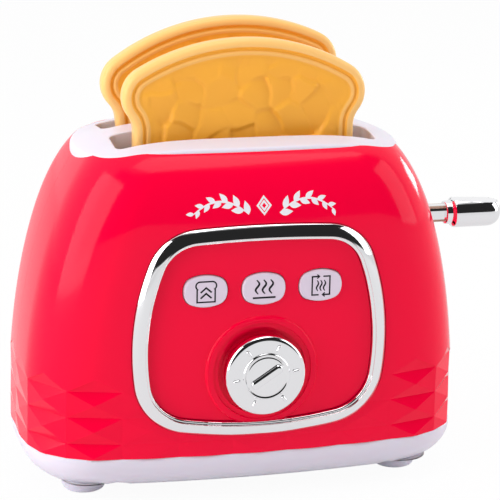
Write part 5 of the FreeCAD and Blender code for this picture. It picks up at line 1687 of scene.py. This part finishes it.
@dataclass
class Bread:
    """One loose plastic slice with a raised crust and a cracked face.

    Attributes:
        row: -1 for the front slot, 1 for the rear one.
        half: Half width at the shoulders.
        neck_half: Half width below them.
        height: Its height.
        crown_r: Radius of the top.
        shoulder_r: Radius of the shoulders.
        neck_r: Radius of the hollow under them.
        foot_r: Radius of the lower corners.
        thick: Its thickness.
        slot_y: Distance of its slot from the centre line.
        shelf_z: Height of the shelf that it stands on.
        lean: Tilt in degrees and shift of the rear slice.
        seed: Seed of the cracked face.
        cells: Number of plates on the face.
        apart: Least distance between the middles of two plates.
        steepness: Slopes that a plate can have.
        lift: How far a plate can stand out or in.
        crust_round: Rounding of the crust's edge.
        crust: Inset and depth of the points on the crust's ridges and grooves.
        pitch: Mesh size on the face.
        fade: Distance from the crust over which the relief starts.
    """

    row: int
    half: float = 51.8
    neck_half: float = 47.0
    height: float = 92.0
    crown_r: float = 90.0
    shoulder_r: float = 13.0
    neck_r: float = 10.0
    foot_r: float = 8.0
    thick: float = 9.0
    slot_y: float = 15.9
    shelf_z: float = 97.5
    lean: Point2 = (5.8, 4.1)
    seed: int = 5
    cells: int = 78
    apart: float = 7.6
    steepness: Point3 = (0.06, 0.11, 0.16)
    lift: float = 0.25
    crust_round: float = 2.6
    crust: tuple[Point2, ...] = ((3.1, 0.0), (3.5, 0.16), (3.8, 0.5), (4.05, 0.86), (4.4, 0.98),
                                 (4.8, 0.9), (5.15, 0.5), (5.5, 0.26), (5.9, 0.24), (6.4, 0.42),
                                 (7.0, 0.66), (7.8, 0.72))
    pitch: float = 0.85
    fade: float = 4.0

    def loop(self, w: float) -> list[Point2]:
        """Outline drawn in by w, with as many points whatever w is."""
        crown_r, shoulder_r = self.crown_r - w, self.shoulder_r - w
        neck_r, foot_r = self.neck_r + w, max(0.3, self.foot_r - w)
        half, neck = self.half - w, self.neck_half - w
        crown = (0.0, self.height - self.crown_r)
        sx = half - shoulder_r
        shoulder = (sx, crown[1] + sqrt((crown_r - shoulder_r) ** 2 - sx ** 2))
        nx = neck + neck_r
        dip = (nx, shoulder[1] - sqrt((shoulder_r + neck_r) ** 2 - (nx - sx) ** 2))
        top = math.atan2(shoulder[1] - crown[1], shoulder[0] - crown[0])
        waist = math.atan2(dip[1] - shoulder[1], dip[0] - shoulder[0])
        parts = [Arc(crown, crown_r, pi / 2, top), Arc(shoulder, shoulder_r, top, waist),
                 Arc(dip, neck_r, waist + pi, pi)]
        points = [arc.point(i / n) for arc, n in zip(parts, (26, 16, 10)) for i in range(n)]
        low, high = w + foot_r, dip[1]
        points += [(neck, high + (low - high) * i / 24) for i in range(24)]
        corner = Arc((neck - foot_r, w + foot_r), foot_r, 0.0, -pi / 2)
        points += [corner.point(i / 6) for i in range(6)]
        points += [((neck - foot_r) * (1 - i / 18), w) for i in range(19)]
        return points + [(-u, v) for u, v in reversed(points[1:-1])]

    def cracked(self) -> Callable[[float, float], float]:
        """Height of the face's uneven plates.

        Returns:
            A function of the place on the face.
        """
        draw = random.Random(self.seed + self.row)
        plates = []
        while len(plates) < self.cells:
            c = (draw.uniform(-self.half, self.half), draw.uniform(0, self.height))
            if all(math.dist(c, p[0]) > self.apart for p in plates):
                turn = draw.uniform(0, 2 * pi)
                steep = draw.choice(self.steepness)
                plates.append((c, steep * cos(turn), steep * sin(turn),
                               draw.uniform(-self.lift, self.lift)))

        def height(u: float, v: float) -> float:
            """Height at a place: that of its plate, run into the next one's, with a groove between."""
            u, v = u + 0.7 * sin(v * 0.45 + 1.3), v + 0.7 * sin(u * 0.4)
            found = sorted(((u - c[0]) ** 2 + (v - c[1]) ** 2, n)
                           for n, (c, _, _, _) in enumerate(plates))[:2]
            values = []
            for _, n in found:
                c, gu, gv, lift = plates[n]
                values.append(lift + gu * (u - c[0]) + gv * (v - c[1]))
            near, far = sqrt(found[0][0]), sqrt(found[1][0])
            share = min(1.0, (far - near) / 0.8)
            blend = 0.5 + 0.5 * share
            groove = -0.2 * (1 - share)
            return values[0] * blend + values[1] * (1 - blend) + groove

        return height

    def build(self, rig: Rig, crust: Material) -> None:
        """Makes the slice and leans the rear one."""
        draft = Draft()
        relief = self.cracked()
        half_t = self.thick / 2
        rounding = [(w, half_t - fall) for w, fall in quarter_round(self.crust_round, 7)]
        face = [(w, half_t - fall) for w, fall in self.crust]
        for way in (-1, 1):
            rims = [(w, way * d) for w, d in [(0.0, 0.0)] + rounding[::-1] + face]
            made = draft.loft([[(u, d, v) for u, v in self.loop(w)] for w, d in rims])
            for ring, (w, _) in zip(made, rims):
                # The crust's outer edge gets the full painted highlight and its second ridge most of it; the
                # groove between gets none.
                share = 1.0 if w < 3.3 else 0.7 if 4.9 < w < 6.5 else 0.0
                draft.rim.update({n: share for n in ring if share})
            self.field(draft, way, relief)
        mesh = draft.piece(rig, f"toasted_slice_{'front' if self.row < 0 else 'rear'}", crust, 60.0)
        base = rig.at(0, 0, 0)
        move = Matrix.Translation(rig.at(0, self.row * self.slot_y, self.shelf_z))
        if self.row > 0:
            tilt, shift = self.lean
            turned = Matrix.Rotation(-radians(tilt), 4, "Y")
            mesh.data.transform(turned @ Matrix.Translation(-base))
            lowest = min(v.co.z for v in mesh.data.vertices)
            mesh.data.transform(move @ Matrix.Translation((shift * MM, 0, -lowest)))
        else:
            mesh.data.transform(move @ Matrix.Translation(-base))
        name = "front" if self.row < 0 else "rear"
        place(mesh, f"slice_{name}", Slot.BREAD, f"bread_slice_{name}")

    def field(self, draft: Draft, way: int, relief: Callable[[float, float], float]) -> None:
        """Cracked face inside the crust.

        Args:
            draft: Where it goes.
            way: 1 for the rear face and -1 for the front one.
            relief: Height of the plates.
        """
        w, fall = self.crust[-1]
        depth, margin = self.thick / 2 - fall, 0.6
        edge, inner = self.loop(w), self.loop(w + margin)
        grid = [(-self.half + (i + 0.5 * (j % 2)) * self.pitch, j * self.pitch)
                for i in range(int(2 * self.half / self.pitch)) for j in range(int(self.height / self.pitch))]
        corners, triangles = triangulated([edge], [p for p in grid if inside(inner, p)])
        border = [Vector(p) for p in edge[::2]]
        ring = []
        for p in corners:
            share = min(1.0, sqrt(min((p - q).length_squared for q in border)) / self.fade)
            ring.append((p.x, way * (depth + share * relief(p.x * way, p.y)), p.y))
        numbers = draft.ring(ring)
        draft.faces += [tuple(numbers[i] for i in triangle) for triangle in triangles]


@dataclass
class Base:
    """Pale tray under the body, with its four feet.

    Attributes:
        seam_z: Height of its upper edge.
        floor_z: Height of its underside in the solid.
        deeper: How much lower the underside reaches.
        foot: X and Y of a foot's middle.
        foot_reach: Radius that takes in a foot.
        foot_shift: How far the feet stand in from there.
    """

    seam_z: float = 21.3
    floor_z: float = 8.5
    deeper: float = 2.2
    foot: Point2 = (69.0, 30.5)
    foot_reach: float = 11.6
    foot_shift: float = 8.0

    def build(self, rig: Rig, pale: Material) -> None:
        """Makes the tray from a merged copy of its solid's mesh."""
        work = bmesh.new()
        work.from_mesh(rig.node("base").data)
        bmesh.ops.remove_doubles(work, verts=work.verts, dist=MERGE)
        floor = self.floor_z * MM
        flat = [f for f in work.faces if all(abs(v.co.z - floor) < 1e-5 for v in f.verts)]
        bmesh.ops.delete(work, geom=flat, context="FACES_ONLY")
        bmesh.ops.delete(work, geom=[e for e in work.edges if not e.link_faces], context="EDGES")
        for corner in work.verts:
            x, y, z = (corner.co - rig.centre) / MM
            if z < self.floor_z + SLACK and math.dist((abs(x), abs(y)), self.foot) < self.foot_reach:
                corner.co.y -= math.copysign(self.foot_shift, y) * MM
        rim = [e for e in work.edges if len(e.link_faces) == 1]
        bmesh.ops.triangle_fill(work, edges=rim, use_beauty=True)
        low = self.floor_z - self.deeper
        stretch = (self.seam_z - low) / (self.seam_z - self.floor_z)
        for corner in work.verts:
            z = corner.co.z / MM
            if z < self.floor_z:
                corner.co.z = z * low / self.floor_z * MM
            elif z < self.seam_z:
                corner.co.z = (self.seam_z - (self.seam_z - z) * stretch) * MM
        bmesh.ops.recalc_face_normals(work, faces=work.faces)
        mesh = bpy.data.meshes.new("base_tray")
        work.to_mesh(mesh)
        work.free()
        mesh.materials.append(pale)
        place(soften(add_object("base_tray", mesh), 40.0), "root", Slot.PALE, "base")


@dataclass
class PanelRing:
    """Raised rounded ring round the knob's well.

    Attributes:
        shape: The body whose front the panel follows.
        z: Height of the knob's axis.
        radius: Radius of its middle.
        half: Half width.
        height: How far it stands out of the panel.
        face: Place of the panel's face, out of the body's.
        sink: How far the ring's sides and its back reach in behind that.
    """

    shape: BodyShape
    z: float = 57.2
    radius: float = 22.2
    half: float = 1.7
    height: float = 1.25
    face: float = -0.2
    sink: Point2 = (0.3, 1.2)

    def build(self, rig: Rig, red: Material) -> None:
        """Makes the ring."""
        draft = Draft()
        side, back = self.sink
        section = [(-self.half * cos(a), self.height * sin(a) - side)
                   for a in (pi * i / 14 for i in range(15))]
        rings = []
        for across, h in section + [(self.half, -back), (-self.half, -back)]:
            ring = circle(0, -h, self.z, self.radius + across, 128)
            rings.append([(x, self.shape.bow_y(x, self.face) + y, z) for x, y, z in ring])
        draft.loft(rings, looped=True)
        place(draft.piece(rig, "panel_ring", red, 50.0), "root", Slot.RED)


def sprig_tree() -> bpy.types.NodeTree:
    """Geometry Nodes tree that sets leaves by turns to both sides of a bent stem in the XZ plane."""
    tree = group_tree("leaves on a stem", "GeometryNodeTree",
                      [("Leaf", "Geometry", None), ("Root", "Vector", (0, 0, 0)),
                       ("Bend", "Vector", (0.01, 0, 0.01)), ("Tip", "Vector", (0.02, 0, 0)),
                       ("Leaves", "Int", 9), ("Spread", "Float", 0.7),
                       ("Tip size", "Float", 0.5), ("Finish", "Material", None)],
                      [("Sprig", "Geometry")])
    g = Graph(tree)
    given = g.add("NodeGroupInput")
    stem = g.add("GeometryNodeCurveQuadraticBezier", {
        "Start": given.outputs["Root"], "Middle": given.outputs["Bend"], "End": given.outputs["Tip"]})
    even = g.add("GeometryNodeResampleCurve", {"Curve": stem.outputs[0], "Count": given.outputs["Leaves"]})
    course = g.add("ShaderNodeSeparateXYZ", {0: g.add("GeometryNodeInputTangent").outputs[0]})
    slope = g.maths("ARCTAN2", course.outputs["Z"], course.outputs["X"])
    odd = g.maths("MODULO", g.add("GeometryNodeInputIndex").outputs[0], 2.0)
    side = g.maths("MULTIPLY", g.maths("SUBTRACT", odd, 0.5), 2.0)
    angle = g.maths("ADD", slope, g.maths("MULTIPLY", side, given.outputs["Spread"]))
    turn = g.add("ShaderNodeCombineXYZ", {"Y": g.maths("MULTIPLY", angle, -1.0)})
    share = g.add("GeometryNodeSplineParameter").outputs["Factor"]
    loss = g.maths("MULTIPLY", share, g.maths("SUBTRACT", 1.0, given.outputs["Tip size"]))
    leaves = g.add("GeometryNodeInstanceOnPoints", {
        "Points": even.outputs[0], "Instance": given.outputs["Leaf"], "Rotation": turn.outputs[0],
        "Scale": g.maths("SUBTRACT", 1.0, loss)})
    g.put_out("Sprig", leaves, given.outputs["Finish"])
    return tree


@dataclass
class Ornament:
    """Plain printed ornament above the bezel: two sprigs and a diamond between them.

    Attributes:
        shape: The body that carries it.
        z: Height of its middle.
        reach: How far a sprig reaches from the middle.
        rise: Height of a sprig's bow.
        leaf: Length and half width of a leaf.
        leaves: Leaves on a sprig.
        film: Height of the print.
        sink: How far it reaches in under the surface.
        spread: Angle between a leaf and the stem, in radians.
        tip_size: Size of the last leaf, as a share of the first.
        ends: How far a sprig's root and tip lie under the ornament's middle.
        stem: Width of the stem.
        diamonds: Half height of the outer and inner diamond.
        diamond_line: Width of their lines.
    """

    shape: BodyShape
    z: float = 127.0
    reach: Point2 = (6.5, 29.0)
    rise: float = 7.0
    leaf: Point2 = (5.6, 1.35)
    leaves: int = 11
    film: float = 0.05
    sink: float = 0.3
    spread: float = 0.62
    tip_size: float = 0.6
    ends: Point2 = (3.2, 2.4)
    stem: float = 0.8
    diamonds: Point2 = (3.4, 1.7)
    diamond_line: float = 0.75

    def leaf_piece(self, rig: Rig, pale: Material) -> Piece:
        """One leaf along X from the origin, two millimetres thick until it is laid on."""
        length, half = self.leaf
        shares = [i / 8 for i in range(1, 8)]
        rim = [(0.0, 0.0)] + [(length * t, half * sin(pi * t ** 0.8)) for t in shares]
        rim.append((length, 0.0))
        rim += [(u, -v) for u, v in reversed(rim[1:-1])]
        draft = Draft()
        draft.loft([[(u, y, v) for u, v in rim] for y in (-1.0, 1.0)], capped=True)
        made = draft.piece(rig, "ornament_sprig", pale)
        to_origin(rig, made)
        return made

    def lay(self, rig: Rig, piece: Piece) -> None:
        """Lays a flat drawing in the XZ plane on the body's front."""
        for corner in piece.data.vertices:
            x, y, z = corner.co / MM
            depth = -self.film if y < 0 else self.sink
            corner.co = rig.at(x, self.shape.front_y(x, z) + depth, z)
        outward(piece)

    def build(self, rig: Rig, pale: Material) -> None:
        """Makes the ornament."""
        tree = sprig_tree()
        near, far = self.reach
        for way, name in ((-1, "left"), (1, "right")):
            sprig = self.leaf_piece(rig, pale)
            ends = [(way * x, self.z - fall) for x, fall in zip(self.reach, self.ends)]
            course = [ends[0], (way * (near + far) / 2, self.z + self.rise), ends[1]]
            values = {label: (x * MM, 0.0, z * MM) for label, (x, z) in zip(("Root", "Bend", "Tip"), course)}
            run_tree(sprig, tree, {**values, "Leaves": self.leaves, "Spread": self.spread,
                                   "Tip size": self.tip_size, "Finish": pale})
            stem = Draft()
            stem.ribbon([tuple((1 - t) ** 2 * a + 2 * t * (1 - t) * b + t * t * c
                               for a, b, c in zip(*course)) for t in (i / 24 for i in range(25))],
                        self.stem, lambda u, v, side: (u, side, v), taper=True)
            line = stem.piece(rig, "ornament_stem", pale)
            to_origin(rig, line)
            join(sprig, line)
            self.lay(rig, sprig)
            sprig.name = f"ornament_{name}"
            place(sprig, "root", Slot.PALE)
        middle = Draft()
        for size in self.diamonds:
            half = size * 0.8
            square = [(0.0, self.z - size), (half, self.z), (0.0, self.z + size), (-half, self.z)]
            middle.ribbon(square, self.diamond_line, lambda u, v, side: (u, side, v), closed=True)
        diamond = middle.piece(rig, "ornament_diamond", pale)
        to_origin(rig, diamond)
        self.lay(rig, diamond)
        place(diamond, "root", Slot.PALE)


@dataclass
class Springs:
    """The carriage's return springs and the buttons' springs, each with its own copy of its mesh.

    Attributes:
        seat_z: Height of the return springs' lower ends, in metres; not used.
        seat_y: Y of the button springs' rear ends, in metres; not used.
        travel: How far the carriage and a button go, in metres; not used.
    """

    seat_z: float = 0.022
    seat_y: float = -0.03775
    travel: Point2 = (0.038, 0.0015)

    def build(self, rig: Rig) -> None:
        """Gives each return spring and button spring its own copy of its mesh."""
        for side in ("left", "right"):
            spring = rig.node(f"return_spring_{side}")
            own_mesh(spring)
        for side in ("left", "centre", "right"):
            spring = rig.node(f"button_spring_{side}")
            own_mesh(spring)


@dataclass
class Studio:
    """Pale floor, soft lamps, white surroundings and the camera.

    Attributes:
        eye: Camera position in millimetres on the toy's centre line.
        forward: Viewing direction.
        up: Camera's up direction.
        lens: Focal length in millimetres on a 36 mm sensor.
        floor_glow: Share of plain white in the floor as the camera and as mirrors see it.
        floor_dim: How much dimmer than white the floor is in mirrors.
        sky_level: Light from behind and above, and from the camera's side.
        camera_side: Direction towards the camera's side.
        sky_turn: How far to that side the light starts to fall and has fallen.
        shine: What mirrors see of the white surroundings and of the dark half.
        dark_front: How far to the camera's side the dark half starts and is full.
        dark_foot: Height at which it starts and is full.
        dark_top: Height at which it starts to end and has ended.
    """

    eye: Point3 = (-214.527, -832.954, 334.254)
    forward: Point3 = (0.248715, 0.930592, -0.268586)
    up: Point3 = (0.050527, 0.264457, 0.963073)
    lens: float = 149.19
    floor_glow: Point2 = (0.95, 0.8)
    floor_dim: float = 0.22
    sky_level: Point2 = (0.72, 0.42)
    camera_side: Point3 = (0.1, -0.98, 0.1)
    sky_turn: Point2 = (0.2, 0.8)
    shine: Point2 = (0.95, 0.02)
    dark_front: Point2 = (-0.05, 0.2)
    dark_foot: Point2 = (-0.01, 0.05)
    dark_top: Point2 = (0.86, 0.95)

    def camera(self, rig: Rig) -> None:
        """Puts the camera where the picture was taken from."""
        data = bpy.data.cameras.new("view")
        data.lens, data.sensor_width, data.clip_end = self.lens, 36.0, 50.0
        camera = add_object("view", data)
        forward = Vector(self.forward).normalized()
        right = forward.cross(Vector(self.up)).normalized()
        up = right.cross(forward)
        turn = Matrix((right, up, -forward)).transposed().to_4x4()
        camera.matrix_world = Matrix.Translation(rig.at(*self.eye)) @ turn
        bpy.context.scene.camera = camera

    def floor(self) -> None:
        """Large pale floor that keeps the toy's shadow."""
        material, g, shader = new_material("Pale floor")
        g.feed(shader, {"Base Color": (0.86, 0.86, 0.87, 1), "Roughness": 0.7})
        camera, mirrored = g.rays()
        seen = g.maths("MULTIPLY", camera, self.floor_glow[0])
        share = g.maths("MAXIMUM", seen, g.maths("MULTIPLY", mirrored, self.floor_glow[1]))
        level = g.maths("SUBTRACT", 1.0, g.maths("MULTIPLY", mirrored, self.floor_dim))
        glow = g.add("ShaderNodeEmission", {"Color": (1, 1, 1, 1), "Strength": level})
        mixed = g.add("ShaderNodeMixShader", {0: share, 1: shader.outputs[0], 2: glow.outputs[0]})
        g.feed(material.node_tree.nodes["Material Output"], {"Surface": mixed.outputs[0]})
        half = 6.0
        floor = mesh_piece("floor", [Vector((x, y, 0)) for x, y in ((-half, -half), (half, -half),
                                                                     (half, half), (-half, half))],
                           [(0, 1, 2, 3)], material)
        floor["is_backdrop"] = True

    def lamp(self, name: str, at: Point3, aim: Point3, width: float, height: float, watts: float) -> None:
        """Adds one rectangular soft lamp.

        Args:
            name: Name of the lamp.
            at: Its place in metres.
            aim: The point that it faces, in metres.
            width: Its width in metres.
            height: Its height in metres.
            watts: Its power.
        """
        data = bpy.data.lights.new(name, "AREA")
        data.shape, data.size, data.size_y, data.energy = "RECTANGLE", width, height, watts
        lamp = add_object(name, data)
        facing = (Vector(aim) - Vector(at)).to_track_quat("-Z", "Y")
        lamp.matrix_world = Matrix.Translation(at) @ facing.to_matrix().to_4x4()

    def sky(self) -> None:
        """White all round; reflections also show the dark half of the room behind the camera."""
        world = bpy.data.worlds.new("surroundings")
        world.use_nodes = True
        bpy.context.scene.world = world
        g = Graph(world.node_tree)
        background = world.node_tree.nodes["Background"]
        where = g.add("ShaderNodeTexCoord").outputs["Generated"]
        facing = g.add("ShaderNodeVectorMath", {0: where, 1: self.camera_side}, operation="DOT_PRODUCT")
        soft = g.add("ShaderNodeMapRange", {
            0: facing.outputs["Value"], 1: self.sky_turn[0], 2: self.sky_turn[1], 3: self.sky_level[0],
            4: self.sky_level[1]}, interpolation_type="SMOOTHSTEP")
        height = g.add("ShaderNodeSeparateXYZ", {0: where}).outputs["Z"]

        def step(value: bpy.types.NodeSocket, low: float, high: float) -> bpy.types.NodeSocket:
            """1 above the second value and 0 below the first."""
            return g.add("ShaderNodeMapRange", {0: value, 1: low, 2: high, 3: 0.0, 4: 1.0},
                         interpolation_type="SMOOTHSTEP").outputs[0]

        front = step(facing.outputs["Value"], *self.dark_front)
        above = step(height, *self.dark_foot)
        below = g.maths("SUBTRACT", 1.0, step(height, *self.dark_top))
        dark = g.maths("MULTIPLY", g.maths("MULTIPLY", front, above), below)
        shine = g.add("ShaderNodeMix", {0: dark, 2: self.shine[0], 3: self.shine[1]})
        camera, mirrored = g.rays()
        level = g.add("ShaderNodeMix", {0: mirrored, 2: soft.outputs[0], 3: shine.outputs[0]})
        shown = g.add("ShaderNodeMix", {0: camera, 2: level.outputs[0], 3: 1.0})
        g.feed(background, {"Strength": shown.outputs[0], "Color": (1, 1, 1, 1)})

    def build(self, rig: Rig) -> None:
        """Makes the whole studio."""
        self.camera(rig)
        self.floor()
        self.sky()
        self.lamp("left box", (-1.1, -0.25, 0.55), (0, 0, 0.08), 0.9, 1.2, 11.0)
        self.lamp("right box", (1.2, -0.35, 0.6), (0, 0, 0.08), 0.7, 1.1, 5.0)
        self.lamp("window box", (1.0, 0.6, 0.29), (0.07, 0, 0.13), 0.28, 0.22, 2.2)
        self.lamp("top box", (0.1, -0.1, 1.3), (0, 0, 0.1), 0.9, 0.6, 3.5)
        scene = bpy.context.scene
        scene.view_settings.view_transform = "Standard"


def main() -> None:
    """Builds the toy and its studio."""
    logging.basicConfig(level=logging.INFO, format="%(message)s")
    rig = Rig()
    finishes = Finishes()
    finishes.dress(rig)
    shape = BodyShape()
    red, pale, chrome = (finishes.by_slot[slot] for slot in (Slot.RED, Slot.PALE, Slot.CHROME))
    Shell(shape).build(rig, red)
    TopTrim(shape).build(rig, pale)
    Bezel(shape).build(rig, chrome)
    Knob().build(rig, chrome)
    Buttons(shape).build(rig, finishes.by_slot[Slot.BUTTON], finishes.ink)
    Lever().build(rig, chrome)
    Base().build(rig, pale)
    PanelRing(shape).build(rig, red)
    Springs().build(rig)
    Ornament(shape).build(rig, finishes.print)
    for row in (-1, 1):
        Bread(row).build(rig, finishes.by_slot[Slot.BREAD])
    Studio().build(rig)
    bpy.context.view_layer.update()


if __name__ == "__main__":
    main()
